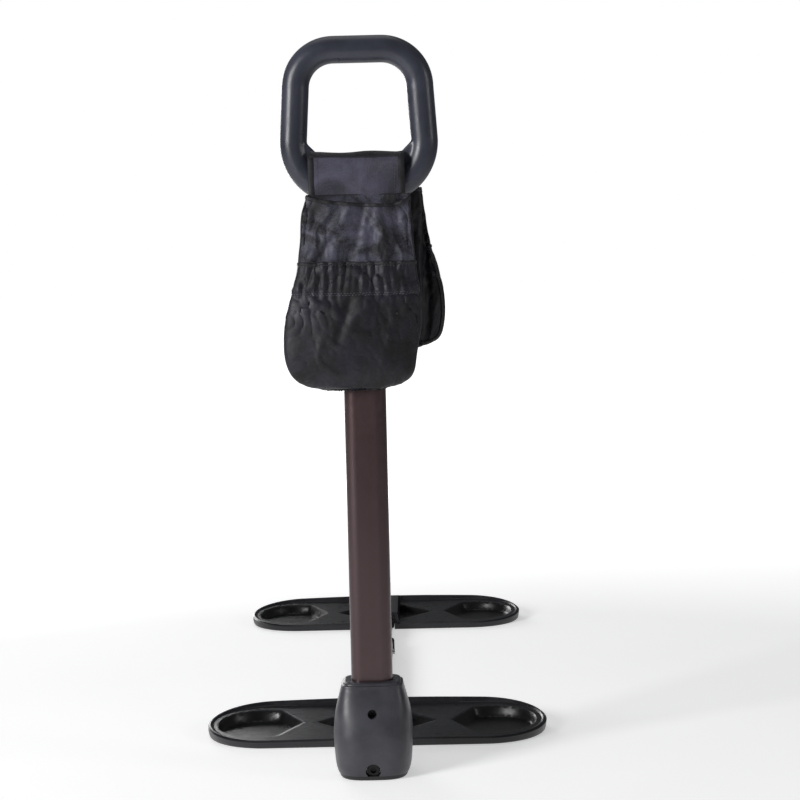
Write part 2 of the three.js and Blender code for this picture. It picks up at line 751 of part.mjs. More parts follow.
// The bag's skin at a distance outside (or inside) its own outline, on one side of the post.
function bagSolid(profile, side, grow, swell = 0, top = profile[0][0]) {
  const rings = profile
    .filter(([z]) => z <= top)
    .map(([z, x, halfWidth, thickness], index, kept) => {
      const bulge = swell * Math.sin((Math.PI * (index + 1)) / (kept.length + 1));
      const halfDepth = (thickness + bulge) / 2;
      return ovalRing({
        z: index === kept.length - 1 ? z - grow : z,
        x,
        y: side * (POUCH_BACK + halfDepth),
        halfWidth: halfWidth + grow,
        halfDepth: halfDepth + grow,
        power: 3,
        sides: 20,
      });
    });
  return loft(rings.reverse());
}

function bag(profile, side) {
  const outer = bagSolid(profile, side, 0);
  const lift = [profile[0][0] + 5, ...profile[0].slice(1)];
  const hollow = bagSolid([lift, ...profile.slice(1)], side, -2.4);
  return cut(outer, hollow);
}

// A sewn-on pocket: a single sheet that wraps the lower front of a bag and is open at the top.
function pocketSheet(profile, side, top) {
  const kept = profile.filter(([z]) => z <= top);
  const start = [top, ...kept[0].slice(1)];
  const open = [top + 5, ...kept[0].slice(1)];
  const outer = bagSolid([start, ...kept.slice(1)], side, GAP + FABRIC, POCKET_SWELL);
  const inner = bagSolid([open, ...kept.slice(1)], side, GAP + 1.6, POCKET_SWELL);
  const wrap = POUCH_BACK + 7; // the sheet reaches round the bag's edge as far as here
  const behind = box(0, side * (wrap - BEYOND), top, 5 * BEYOND, 2 * BEYOND, 5 * BEYOND);
  return cut(outer, inner, behind);
}

// The strap that joins the bags: a sheet folded over the web, with a leg down each side of it.
function saddle() {
  const { width, shift, inner, bend, low } = SADDLE;
  const outerBend = bend + FABRIC;
  const across = inner - bend;
  const up = WEB_TOP + 1.5 - bend;
  const shape = new THREE.Shape();
  shape.moveTo(inner + FABRIC, low);
  shape.absarc(across, up, outerBend, 0, Math.PI / 2);
  shape.absarc(-across, up, outerBend, Math.PI / 2, Math.PI);
  shape.lineTo(-inner - FABRIC, low);
  shape.lineTo(-inner, low);
  shape.absarc(-across, up, bend, Math.PI, Math.PI / 2, true);
  shape.absarc(across, up, bend, Math.PI / 2, 0, true);
  shape.lineTo(inner, low);
  shape.closePath();
  const geometry = extrude(shape, width, 5).rotateX(Math.PI / 2).rotateZ(Math.PI / 2);
  return solidOf(geometry.translate(shift - width / 2, 0, 0));
}

// ---- the assembly ----
addPart('handle_core', handleCore(), steel);
addPart('handle_neck', handleNeck(), steel);
addPart('neck_rivet', neckRivet(), steel);
addPart('grip_cover', gripCover(), rubber);
addPart('inner_post', innerPost(), paint);
addPart('inner_post_glide', innerPostGlide(), plastic);
addPart('height_button', heightButton(), steel);
addPart('height_button_spring', heightButtonSpring(), steel);
addPart('post_collar', postCollar(), plastic);
addPart('outer_post', outerPost(), paint);
addPart('shoe_cover', shoeCover(), plastic);
addPart('shoe_sole', shoeSole(), rubber);
addPart('base_spigot', baseSpigot(), steel);
addPart('post_bolt', postBolt(), steel);
addPart('post_nut', postNut(), steel);
addPart('bar_bolt', barBolt(), steel);
addPart('bar_thread_block', barThreadBlock(), steel);
addPart('base_bar_outer', baseBarOuter(), paint);
addPart('bar_collar', barCollar(), plastic);
addPart('base_bar_inner', baseBarInner(), paint);
addPart('bar_front_glide', barPlug(INNER_BAR.front, -1), plastic);
addPart('bar_end_plug', barPlug(INNER_BAR.rear, 1), plastic);
addPart('length_button', lengthButton(), steel);
addPart('length_button_spring', lengthButtonSpring(), steel);
addPart('front_pan', pan(FRONT_PAN_Y), trayPlastic);
addPart('rear_pan', pan(REAR_PAN_Y), trayPlastic);
addPart('rear_pan_sleeve', rearPanSleeve(), plastic);
for (const [place, middle] of [['front', FRONT_PAN_Y], ['rear', REAR_PAN_Y]]) {
  addPart(`${place}_pan_screw_near`, panScrew(middle - PAN_SCREW_OFFSET), steel);
  addPart(`${place}_pan_screw_far`, panScrew(middle + PAN_SCREW_OFFSET), steel);
}
addPart('pouch_saddle', saddle(), fabric);
addPart('pouch_front_bag', bag(FRONT_BAG, -1), fabric);
addPart('pouch_front_pocket', pocketSheet(FRONT_BAG, -1, FRONT_POCKET_TOP), fabric);
addPart('pouch_rear_bag', bag(REAR_BAG, 1), fabric);
addPart('pouch_rear_pocket', pocketSheet(REAR_BAG, 1, REAR_POCKET_TOP), fabric);

export default object;
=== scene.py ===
"""The looks of the stand-assist handle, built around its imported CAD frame. Lengths are in metres."""

import json
import math

import bmesh
import bpy
import numpy as np
from mathutils import Matrix, Vector, noise


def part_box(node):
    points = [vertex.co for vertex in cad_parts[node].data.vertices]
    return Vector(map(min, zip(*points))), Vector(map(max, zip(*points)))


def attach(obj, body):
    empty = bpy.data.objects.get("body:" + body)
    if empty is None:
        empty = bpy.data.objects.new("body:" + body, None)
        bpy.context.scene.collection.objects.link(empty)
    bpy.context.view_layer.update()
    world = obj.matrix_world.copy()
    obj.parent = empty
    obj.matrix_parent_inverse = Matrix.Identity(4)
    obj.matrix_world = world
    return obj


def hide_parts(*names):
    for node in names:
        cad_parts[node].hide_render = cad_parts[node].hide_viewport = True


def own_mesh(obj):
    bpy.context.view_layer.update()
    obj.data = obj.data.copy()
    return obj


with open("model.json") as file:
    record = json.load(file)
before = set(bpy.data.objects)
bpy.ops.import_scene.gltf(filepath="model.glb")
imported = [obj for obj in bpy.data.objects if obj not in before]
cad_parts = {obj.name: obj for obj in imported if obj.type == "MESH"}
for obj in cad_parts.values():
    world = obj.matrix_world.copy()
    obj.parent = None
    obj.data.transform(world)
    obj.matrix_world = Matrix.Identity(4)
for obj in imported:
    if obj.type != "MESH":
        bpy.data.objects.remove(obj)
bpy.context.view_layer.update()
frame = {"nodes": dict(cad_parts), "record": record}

MM = 0.001
RECORD = frame["record"]
MOUNTS = {mount["name"]: Vector(mount["pos_m"]) for mount in RECORD["mounts"]}


# ---- Meshes ----
def mesh_object(name, points, faces, material=None):
    """A new smooth-shaded object from points and faces."""
    mesh = bpy.data.meshes.new(name)
    mesh.from_pydata([tuple(p) for p in points], [], [tuple(f) for f in faces])
    mesh.validate()
    mesh.update()
    obj = bpy.data.objects.new(name, mesh)
    bpy.context.scene.collection.objects.link(obj)
    return finish_surface(obj, material)


def finish_surface(obj, material=None, sharp_angle=None):
    """Smooth shading and one material. Edges sharper than the angle, in degrees, stay sharp."""
    mesh = obj.data
    mesh.polygons.foreach_set("use_smooth", [True] * len(mesh.polygons))
    if sharp_angle is not None:
        mesh.set_sharp_from_angle(angle=math.radians(sharp_angle))
    if material is not None:
        mesh.materials.clear()
        mesh.materials.append(material)
    mesh.update()
    return obj


def bake(obj):
    """Applies every modifier of obj to its mesh."""
    bpy.context.view_layer.update()
    graph = bpy.context.evaluated_depsgraph_get()
    made = bpy.data.meshes.new_from_object(obj.evaluated_get(graph))
    obj.modifiers.clear()
    obj.data = made
    return obj


def boolean(obj, others, operation="DIFFERENCE"):
    """Cuts the other objects from obj, or joins them to it, and removes them."""
    for other in others:
        cut = obj.modifiers.new("cut", "BOOLEAN")
        cut.operation = operation
        cut.solver = "MANIFOLD"
        cut.object = other
    bake(obj)
    for other in others:
        bpy.data.objects.remove(other)
    return obj


def grid_faces(rings, sides, closed_around=True, closed_along=False, start=0):
    """Quads between rings of points that are numbered ring by ring."""
    faces = []
    last_ring = rings if closed_along else rings - 1
    last_side = sides if closed_around else sides - 1
    for ring in range(last_ring):
        for side in range(last_side):
            a = start + ring * sides + side
            b = start + ring * sides + (side + 1) % sides
            c = start + ((ring + 1) % rings) * sides + (side + 1) % sides
            d = start + ((ring + 1) % rings) * sides + side
            faces.append((a, b, c, d))
    return faces


def rounded_outline(width, depth, corner, steps=10):
    """Points round a rounded rectangle, as an array of x and y."""
    points = []
    corner = min(corner, width / 2 - 1e-5, depth / 2 - 1e-5)
    for quarter in range(4):
        cx = (width / 2 - corner) * (1 if quarter in (0, 3) else -1)
        cy = (depth / 2 - corner) * (1 if quarter in (0, 1) else -1)
        for step in range(steps + 1):
            angle = math.pi / 2 * (quarter + step / steps)
            points.append((cx + corner * math.cos(angle), cy + corner * math.sin(angle)))
    return np.array(points)


def level_ring(flat, height):
    """Flat points of x and y, set at one height."""
    return np.column_stack([flat, np.full(len(flat), height)])


def ring_solid(name, width, depth, corner, path, material, along="Z", middle=(0, 0), steps=10):
    """A closed ring or tube. Each (inset, height) of its closed path is one rounded rectangle."""
    rings = []
    for inset, height in path:
        radius = max(corner - inset, 0.5 * MM)
        flat = rounded_outline(width - 2 * inset, depth - 2 * inset, radius, steps)
        if along == "Z":
            ring = level_ring(flat + middle, height)
        else:
            ring = level_ring(flat * (-1, 1) + middle, height)[:, (0, 2, 1)]
        rings.append(ring)
    faces = grid_faces(len(rings), len(rings[0]), closed_along=True)
    return finish_surface(solid(name, np.concatenate(rings), faces), material, 32)


def outward(obj, weld=1e-6):
    """Turns every face to point out of the solid. With no weld, the vertices keep their numbering."""
    work = bmesh.new()
    work.from_mesh(obj.data)
    if weld:
        bmesh.ops.remove_doubles(work, verts=work.verts, dist=weld)
    bmesh.ops.recalc_face_normals(work, faces=work.faces)
    work.to_mesh(obj.data)
    work.free()
    obj.data.update()
    return obj


def solid(name, points, faces):
    return outward(mesh_object(name, points, faces))


def lofted(name, rings):
    """A solid through a stack of rings, with a flat face at either end."""
    sides = len(rings[0])
    last = (len(rings) - 1) * sides
    faces = grid_faces(len(rings), sides)
    faces += [tuple(reversed(range(sides))), tuple(range(last, last + sides))]
    return solid(name, np.concatenate(rings), faces)


def place(obj, body, slot, *nodes):
    """Gives a piece its body and hides the CAD nodes that it stands for. The slot argument is not used.
    """
    if nodes:
        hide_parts(*nodes)
    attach(obj, body)
    return obj


def tube_path(low, high, wall, edge=0.5 * MM):
    """The path of an open tube with slightly rounded rims, for ring_solid."""
    outside = [(edge, low), (0, low + edge), (0, high - edge), (edge, high)]
    return outside + [(wall - inset, height) for inset, height in reversed(outside)]


def cylinder(name, start, end, radius, sides=32):
    """A closed round pin between two points."""
    start, end = Vector(start), Vector(end)
    axis = (end - start).normalized()
    across = axis.orthogonal().normalized()
    other = axis.cross(across)
    rings = []
    for centre in (start, end):
        angles = [2 * math.pi * side / sides for side in range(sides)]
        rings.append([centre + (across * math.cos(a) + other * math.sin(a)) * radius for a in angles])
    return lofted(name, rings)


def block(name, low, high):
    xs, ys, zs = zip(low, high)
    corners = [(x, y, z) for x in xs for y in ys for z in zs]
    faces = [(0, 1, 3, 2), (4, 6, 7, 5), (0, 4, 5, 1), (2, 3, 7, 6), (0, 2, 6, 4), (1, 5, 7, 3)]
    return solid(name, corners, faces)


def outline_levels(node, least=14):
    """Rings of a lofted CAD node, top first: height, x middle, half width, y middle and half depth."""
    points = np.array([v.co for v in frame["nodes"][node].data.vertices])
    heights, counts = np.unique(np.round(points[:, 2], 5), return_counts=True)
    found = []
    for height in heights[counts >= least][::-1]:
        ring = points[np.abs(points[:, 2] - height) < 2e-5]
        low, high = ring.min(0), ring.max(0)
        middle, half = (low + high) / 2, (high - low) / 2
        found.append((height, middle[0], half[0], middle[1], half[1]))
    return found


def catmull(values, at):
    """Smooth interpolation of rows of numbers at fractional row places."""
    values = np.asarray(values, float)
    last = len(values) - 1
    base = np.clip(np.floor(at).astype(int), 0, last - 1)
    t = (at - base)[:, None]
    a, b, c, d = (values[np.clip(base + step, 0, last)] for step in (-1, 0, 1, 2))
    return 0.5 * (
        2 * b + (c - a) * t + (2 * a - 5 * b + 4 * c - d) * t**2 + (3 * b - a - 3 * c + d) * t**3
    )


def smooth_step(low, high, value):
    t = np.clip((np.asarray(value, float) - low) / (high - low), 0, 1)
    return t * t * (3 - 2 * t)


def noise_at(points, scale, seed=0.0):
    """Perlin noise of each point, between about -1 and 1."""
    shift = Vector((seed * 13.7, seed * 5.3, seed * 7.9))
    values = [noise.noise(Vector(p) * scale + shift) for p in points.reshape(-1, 3)]
    return np.array(values).reshape(points.shape[:-1])


def superellipse(angle, power):
    c, s = np.cos(angle), np.sin(angle)
    return np.sign(c) * np.abs(c) ** (2 / power), np.sign(s) * np.abs(s) ** (2 / power)


# ---- Materials ----
class Shader:
    """A Principled material with short calls for the nodes that feed it."""

    def __init__(self, name, roughness, metallic=0.0, coat=0.0, sheen=0.0, specular=0.5):
        self.material = bpy.data.materials.new(name)
        self.material.use_nodes = True
        self.tree = self.material.node_tree
        self.surface = self.tree.nodes["Principled BSDF"]
        look = {"Roughness": roughness, "Metallic": metallic, "Coat Weight": coat}
        look |= {"Sheen Weight": sheen, "Specular IOR Level": specular}
        for key, value in look.items():
            self.surface.inputs[key].default_value = value
        self.place = self.node("ShaderNodeTexCoord").outputs["Object"]

    def node(self, kind, links=None, **settings):
        made = self.tree.nodes.new(kind)
        for key, value in settings.items():
            if hasattr(made, key):
                setattr(made, key, value)
            else:
                made.inputs[key.replace("_", " ")].default_value = value
        for key, source in (links or {}).items():
            self.tree.links.new(source, made.inputs[key])
        return made

    def noise(self, scale, detail=4.0, roughness=0.55, stretch=(1, 1, 1), distortion=0.0):
        mapped = self.node("ShaderNodeMapping", {"Vector": self.place})
        mapped.inputs["Scale"].default_value = stretch
        look = {"Scale": scale, "Detail": detail, "Roughness": roughness, "Distortion": distortion}
        made = self.node("ShaderNodeTexNoise", {"Vector": mapped.outputs["Vector"]}, **look)
        return made.outputs["Fac"]

    def wave(self, scale, direction):
        look = {"wave_type": "BANDS", "bands_direction": direction, "Scale": scale}
        return self.node("ShaderNodeTexWave", {"Vector": self.place}, **look).outputs["Fac"]

    def math(self, operation, a, b):
        made = self.node("ShaderNodeMath", operation=operation)
        for slot, value in enumerate((a, b)):
            if isinstance(value, (int, float)):
                made.inputs[slot].default_value = value
            else:
                self.tree.links.new(value, made.inputs[slot])
        return made.outputs[0]

    def ramp(self, value, stops):
        made = self.node("ShaderNodeValToRGB", {"Fac": value})
        elements = made.color_ramp.elements
        while len(elements) < len(stops):
            elements.new(0.5)
        for element, (position, colour) in zip(elements, stops):
            element.position = position
            element.color = (*colour, 1)
        return made.outputs["Color"]

    def tones(self, value, dark, light, low=0.3, high=0.7):
        """Turns a noise into tones between two screen colours."""
        return self.ramp(value, [(low, srgb(*dark)), (high, srgb(*light))])

    def level(self, value, low, high, out_low, out_high):
        limits = {"From_Min": low, "From_Max": high, "To_Min": out_low, "To_Max": out_high}
        return self.node("ShaderNodeMapRange", {"Value": value}, **limits).outputs["Result"]

    def colour(self, source):
        self.tree.links.new(source, self.surface.inputs["Base Color"])

    def roughness(self, source):
        self.tree.links.new(source, self.surface.inputs["Roughness"])

    def bump(self, height, strength, distance):
        links = {"Height": height}
        previous = self.surface.inputs["Normal"]
        if previous.is_linked:
            links["Normal"] = previous.links[0].from_socket
        made = self.node("ShaderNodeBump", links, Strength=strength, Distance=distance)
        self.tree.links.new(made.outputs["Normal"], previous)

    def scuffs(self, low, high, grain):
        """Streaks between two roughnesses, over a fine moulded grain."""
        streaks = self.noise(55, 8, 0.7, stretch=(1, 2.5, 1), distortion=0.6)
        self.roughness(self.level(streaks, 0.35, 0.68, low, high))
        self.bump(self.noise(1700, 3), grain, 0.2 * MM)


def srgb(*screen):
    """A colour given in screen values, as the linear numbers that shaders use."""
    return tuple(((v / 255 + 0.055) / 1.055) ** 2.4 if v > 10 else v / 3295 for v in screen)


def mottled(name, tone, dark, light, wear=None, bumps=(), top=0.7, **surface):
    """A mottled finish. Tone, wear and bumps each start with the arguments of their noise."""
    shader = Shader(name, **surface)
    shader.colour(shader.tones(shader.noise(*tone), dark, light, high=top))
    if wear is not None:
        grain, low, high = wear
        shader.roughness(shader.level(shader.noise(*grain), 0.3, 0.7, low, high))
    for grain, strength, distance in bumps:
        shader.bump(shader.noise(*grain), strength, distance * MM)
    return shader.material


def bronze_paint():
    tone = (9, 3, 0.55, (1, 1, 0.25))
    wear = ((160, 5), 0.28, 0.44)
    bumps = (((2600, 2), 0.12, 0.2), ((240, 3), 0.1, 0.3))
    look = {"roughness": 0.34, "metallic": 0.55, "coat": 0.25}
    return mottled("bronze_paint", tone, (66, 48, 50), (86, 68, 70), wear, bumps, **look)


def grip_rubber():
    wear = ((70, 5), 0.27, 0.4)
    bumps = (((1900, 3), 0.25, 0.2), ((60, 3), 0.15, 1.0))
    look = {"top": 0.72, "roughness": 0.4, "sheen": 0.1}
    return mottled("grip_rubber", (26, 4), (44, 46, 56), (61, 63, 76), wear, bumps, **look)


def plated_steel():
    shader = Shader("plated_steel", 0.3, metallic=1.0)
    tone = shader.noise(220, 4, stretch=(1, 1, 6))
    shader.colour(shader.ramp(tone, [(0.3, (0.32, 0.32, 0.33)), (0.7, (0.5, 0.5, 0.5))]))
    shader.roughness(shader.level(shader.noise(500, 4), 0.3, 0.7, 0.24, 0.42))
    shader.bump(shader.noise(1500, 2), 0.08, 0.1 * MM)
    return shader.material


def dark_screw():
    look = {"bumps": (((1500, 2), 0.1, 0.1),), "roughness": 0.4, "metallic": 0.8}
    return mottled("dark_screw", (300, 4), (28, 28, 30), (48, 47, 48), **look)


def moulded_plastic(name, dark, light, low, high, grain):
    shader = Shader(name, (low + high) / 2)
    shader.colour(shader.tones(shader.noise(30, 5), dark, light, high=0.72))
    shader.scuffs(low, high, grain)
    return shader.material


TRAY_LOW, TRAY_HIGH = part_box("front_pan")
TRAY_DEPTH = TRAY_HIGH.y - TRAY_LOW.y
TRAY_MIDDLES = [sum(corner.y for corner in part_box(node)) / 2 for node in ("front_pan", "rear_pan")]
RIM_NEAR_SHARE = 0.4  # height of the rim's near side as a share of its far side's
DECK_FAR = 17.7 * MM
DECK_NEAR = DECK_FAR * RIM_NEAR_SHARE


def tray_plastic():
    """Glossy black plastic. Painted shade colours the recesses below the leaning deck near black."""
    shader = Shader("tray_plastic", 0.36)
    parts = shader.node("ShaderNodeSeparateXYZ", {"Vector": shader.place}).outputs
    spacing = TRAY_MIDDLES[1] - TRAY_MIDDLES[0]
    from_front = shader.math("ADD", parts["Y"], spacing / 2 - TRAY_MIDDLES[0])
    across = shader.math("SUBTRACT", shader.math("MODULO", from_front, spacing), spacing / 2)
    deck = shader.level(across, -TRAY_DEPTH / 2, TRAY_DEPTH / 2, DECK_NEAR, DECK_FAR)
    height = shader.math("SUBTRACT", parts["Z"], deck)
    above = shader.level(height, -1.8 * MM, -0.5 * MM, 0.0, 1.0)
    normal = shader.node("ShaderNodeNewGeometry").outputs["Normal"]
    up = shader.node("ShaderNodeSeparateXYZ", {"Vector": normal}).outputs["Z"]
    raised = shader.math("MAXIMUM", above, shader.level(up, 0.1, 0.3, 1.0, 0.0))
    # Painted shade: upward faces below the deck's height take this near-black colour instead of the
    # deck's tone.
    recess = shader.tones(shader.noise(30, 5), (5, 5, 7), (11, 11, 13), high=0.72)
    deck_tone = shader.tones(shader.noise(30, 5), (20, 20, 23), (34, 34, 39), high=0.72)
    mix = shader.node("ShaderNodeMix", {"Factor": raised, 6: recess, 7: deck_tone}, data_type="RGBA")
    shader.colour(mix.outputs[2])
    shader.scuffs(0.26, 0.44, 0.25)
    return shader.material


THREAD_PITCH = 1.1 * MM


def woven_fabric(name, dark, light, weave=1.0, painted_sheen_contrast=0.5):
    """Plain-weave polyester with a satin sheen that varies over the folds. The large light patches in
    its colour are painted sheen, over a fine uneven tone of the cloth's own.
    """
    shader = Shader(name, 0.6, sheen=0.12, specular=0.35)
    shader.surface.inputs["Sheen Roughness"].default_value = 0.4
    threads = 2 * math.pi / THREAD_PITCH / 20
    crossing = shader.math("MAXIMUM", shader.wave(threads, "X"), shader.wave(threads, "Z"))
    # Painted sheen: the large patches of this noise lighten the colour where satin highlights would
    # fall.
    sheen_patches = shader.noise(24, 4, 0.6, stretch=(1, 0.4, 1), distortion=0.8)
    fine = shader.noise(900, 3)
    tone = shader.math("ADD", shader.math("MULTIPLY", sheen_patches, 0.75), shader.math("MULTIPLY", fine, 0.25))
    spread = 0.3 * (0.5 - painted_sheen_contrast * 0.38)
    shader.colour(shader.tones(tone, dark, light, 0.5 - spread, 0.5 + spread))
    shader.roughness(shader.level(sheen_patches, 0.35, 0.65, 0.62, 0.42))
    shader.bump(crossing, 0.3 * weave, 0.25 * MM)
    shader.bump(shader.noise(130, 4, 0.6), 0.22, 1.2 * MM)
    return shader.material


def thread():
    shader = Shader("thread", 0.7, sheen=0.3)
    shader.colour(shader.tones(shader.noise(600, 2), (52, 51, 60), (84, 82, 94)))
    shader.bump(shader.wave(900, "DIAGONAL"), 0.3, 0.1 * MM)
    return shader.material


def pale_floor():
    """A pale floor that fades to white where the camera sees it. Near the object it glows in
    reflections only, a painted reflection that fades to nothing further out.
    """
    shader = Shader("pale_floor", 0.85, specular=0.15)
    tone = shader.noise(3, 3)
    shader.colour(shader.ramp(tone, [(0.3, (0.86, 0.86, 0.86)), (0.7, (0.9, 0.9, 0.9))]))
    reach = shader.node("ShaderNodeVectorMath", {"Vector": shader.place}, operation="LENGTH")
    far = shader.level(reach.outputs["Value"], 0.9, 2.6, 0.45, 1.2)
    # Painted reflection: this glow shows only in glossy rays and brightens the floor's reflection in
    # the object.
    near = shader.level(reach.outputs["Value"], 0.4, 1.9, 0.5, 0.0)
    path = shader.node("ShaderNodeLightPath")
    shown = shader.math("MULTIPLY", far, path.outputs["Is Camera Ray"])
    reflection_glow = shader.math("MULTIPLY", near, path.outputs["Is Glossy Ray"])
    inputs = shader.surface.inputs
    inputs["Emission Color"].default_value = (1, 1, 1, 1)
    shader.tree.links.new(shader.math("ADD", shown, reflection_glow), inputs["Emission Strength"])
    return shader.material


BRONZE = bronze_paint()
RUBBER = grip_rubber()
SHOE = moulded_plastic("shoe_plastic", (55, 55, 61), (73, 73, 80), 0.34, 0.48, 0.3)
TRAY = tray_plastic()
BLACK = moulded_plastic("black_plastic", (18, 18, 20), (30, 30, 33), 0.35, 0.5, 0.2)
STEEL = plated_steel()
SCREW = dark_screw()
CLOTH = woven_fabric("pouch_cloth", (22, 22, 26), (90, 89, 106), painted_sheen_contrast=0.4)
STRAP_CLOTH = woven_fabric("strap_cloth", (54, 53, 63), (90, 88, 105), painted_sheen_contrast=0.2)
POCKET_CLOTH = woven_fabric("pocket_cloth", (8, 8, 10), (37, 35, 46), painted_sheen_contrast=0.4)
REAR_CLOTH = woven_fabric("rear_cloth", (12, 11, 12), (34, 32, 38), painted_sheen_contrast=0.3)
BINDING = woven_fabric("binding_tape", (18, 18, 21), (42, 42, 48), weave=1.6, painted_sheen_contrast=0.2)
THREAD = thread()


# ---- The loop grip ----
GRIP_LOW, GRIP_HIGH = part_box("grip_cover")
GRIP_RADIUS = (GRIP_HIGH.y - GRIP_LOW.y) / 2
SADDLE_LOW, SADDLE_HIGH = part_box("pouch_saddle")
FOLD_TOP = SADDLE_HIGH.z
WEB_TOP = FOLD_TOP - 4 * MM
WEB_THICKNESS = 16 * MM
WEB_SLANT = 14 * MM
MELT_VOXEL = 1.5 * MM
UPPER_CORNER = 39 * MM
LOWER_CORNER = 50 * MM
LOOP_TAPER = 3.5 * MM


def loop_centreline(count=260):
    """Evenly spaced points of the loop's closed centreline in the XZ plane."""
    half_low = GRIP_HIGH.x - GRIP_RADIUS
    half_top = half_low - LOOP_TAPER
    top = GRIP_HIGH.z - GRIP_RADIUS
    bottom = GRIP_LOW.z + GRIP_RADIUS
    lower = (half_low - LOWER_CORNER, bottom + LOWER_CORNER, LOWER_CORNER, -math.pi / 2)
    upper = (half_top - UPPER_CORNER, top - UPPER_CORNER, UPPER_CORNER, 0)
    half = []
    for x, z, corner, start in (lower, upper):
        for step in range(41):
            angle = start + math.pi / 2 * step / 40
            half.append((x + corner * math.cos(angle), z + corner * math.sin(angle)))
    loop = np.array(half + [(-x, z) for x, z in reversed(half)])
    loop = np.vstack([loop, loop[:1]])
    lengths = np.concatenate([[0], np.cumsum(np.linalg.norm(np.diff(loop, axis=0), axis=1))])
    at = np.linspace(0, lengths[-1], count, endpoint=False)
    return np.column_stack([np.interp(at, lengths, loop[:, i]) for i in range(2)])


def swept_loop(name, radius, sides=40):
    centre = loop_centreline()
    run = np.roll(centre, -1, axis=0) - np.roll(centre, 1, axis=0)
    run /= np.linalg.norm(run, axis=1)[:, None]
    out = np.column_stack([run[:, 1], -run[:, 0]])
    angles = np.linspace(0, 2 * math.pi, sides, endpoint=False)
    points = []
    for (x, z), (nx, nz) in zip(centre, out):
        for angle in angles:
            reach = radius * math.cos(angle)
            points.append((x + nx * reach, radius * math.sin(angle), z + nz * reach))
    return solid(name, points, grid_faces(len(centre), sides, closed_along=True))


def web_plate(name):
    """The plate that closes the loop's lower part. Slanted corners join its level top to the loop."""
    half_low = GRIP_HIGH.x - GRIP_RADIUS
    centre = loop_centreline()
    lower = centre[centre[:, 1] < GRIP_LOW.z + GRIP_RADIUS + LOWER_CORNER]
    lower = lower[np.argsort(np.arctan2(lower[:, 1] - GRIP_HIGH.z, lower[:, 0]))]
    inner = half_low - GRIP_RADIUS
    slant_top = WEB_TOP + WEB_SLANT
    top = [(inner + 3 * MM, slant_top), (inner, slant_top), (inner - WEB_SLANT, WEB_TOP)]
    top += [(-x, z) for x, z in reversed(top)]
    outline = [tuple(p) for p in lower] + top
    count = len(outline)
    half = WEB_THICKNESS / 2
    points = [(x, -half, z) for x, z in outline] + [(x, half, z) for x, z in outline]
    faces = [tuple(range(count)), tuple(reversed(range(count, 2 * count)))]
    faces += [(i, (i + 1) % count, (i + 1) % count + count, i + count) for i in range(count)]
    return solid(name, points, faces)


def grip_boss(name):
    """The short moulded boss between the loop and the top of the inner post."""
    low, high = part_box("inner_post")
    rings = []
    for height, grow in ((high.z + 0.4 * MM, 2.4), (high.z + 5 * MM, 2.8), (high.z + 16 * MM, 5)):
        size = high - low + Vector((2, 2, 0)) * grow * MM
        rings.append(level_ring(rounded_outline(size.x, size.y, 11 * MM, 8), height))
    return lofted(name, rings)


def grip():
    """One moulding: the padded loop, its web and its boss, melted together with soft fillets."""
    loop = swept_loop("loop_grip", GRIP_RADIUS)
    boolean(loop, [web_plate("web"), grip_boss("boss")], "UNION")
    voxels = loop.modifiers.new("melt", "REMESH")
    voxels.mode = "VOXEL"
    voxels.voxel_size = MELT_VOXEL
    bake(loop)
    points = np.array([v.co for v in loop.data.vertices])
    soft = loop.vertex_groups.new(name="soft")
    low_part = np.clip((WEB_TOP + 24 * MM - points[:, 2]) / (20 * MM), 0, 1)
    for index, weight in enumerate(low_part):
        soft.add([index], 0.25 + 0.75 * float(weight), "REPLACE")
    relax = loop.modifiers.new("relax", "SMOOTH")
    relax.factor = 0.5
    relax.iterations = 14
    relax.vertex_group = "soft"
    bake(loop)
    finish_surface(loop, RUBBER)
    place(loop, "handle", "grip_rubber", "grip_cover")


# ---- Tubes and bars ----
WALL = 2 * MM
HOLE_SHARE = 0.86  # a hole's radius as a share of half the button's smallest side
HEIGHT_PITCH = 12.7 * MM
LENGTH_PITCH = 23 * MM


def side_holes(button, shifts, along, reach):
    """Cutters for snap-button holes, each shifted along the tube from where the button stands."""
    low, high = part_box(button)
    centre = (low + high) / 2
    radius = min(high - low) / 2 * HOLE_SHARE
    cutters = []
    for shift in shifts:
        if along == "Z":
            ends = [(0, y, centre.z + shift) for y in (-reach, -3 * MM)]
        else:
            ends = [(x, centre.y + shift, centre.z) for x in (3 * MM, reach)]
        cutters.append(cylinder("hole", *ends, radius))
    return cutters


def tube(name, node, body, corner, steps, shifts, along="Z", wall=WALL, start=None):
    """A painted tube in the place of its CAD node, with a row of snap-button holes in one side."""
    low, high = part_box(node)
    size = high - low
    if along == "Z":
        depth, first, last, middle = size.y, low.z, high.z, (0, 0)
        holes = side_holes("height_button", shifts, along, 30 * MM)
    else:
        depth, first, last, middle = size.z, low.y, high.y, (0, (low.z + high.z) / 2)
        holes = side_holes("length_button", shifts, along, 25 * MM)
    path = tube_path(first if start is None else start, last, wall)
    made = ring_solid(name, size.x, depth, corner, path, BRONZE, along, middle, steps)
    boolean(made, holes)
    place(finish_surface(made, BRONZE, 32), body, "bronze_paint", node)


def tubes():
    heights = [step * HEIGHT_PITCH for step in range(-2, 5)]
    lengths = [-step * LENGTH_PITCH for step in range(7)]
    in_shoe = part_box("shoe_cover")[1].z - 20 * MM
    tube("outer_post_tube", "outer_post", "base", 12 * MM, 14, heights, start=in_shoe)
    tube("inner_post_tube", "inner_post", "handle", 9.5 * MM, 12, [0])
    tube("floor_bar_outer", "base_bar_outer", "base", 3 * MM, 8, lengths, "Y")
    tube("floor_bar_inner", "base_bar_inner", "rear_base", 2 * MM, 8, [0], "Y", wall=1.6 * MM)


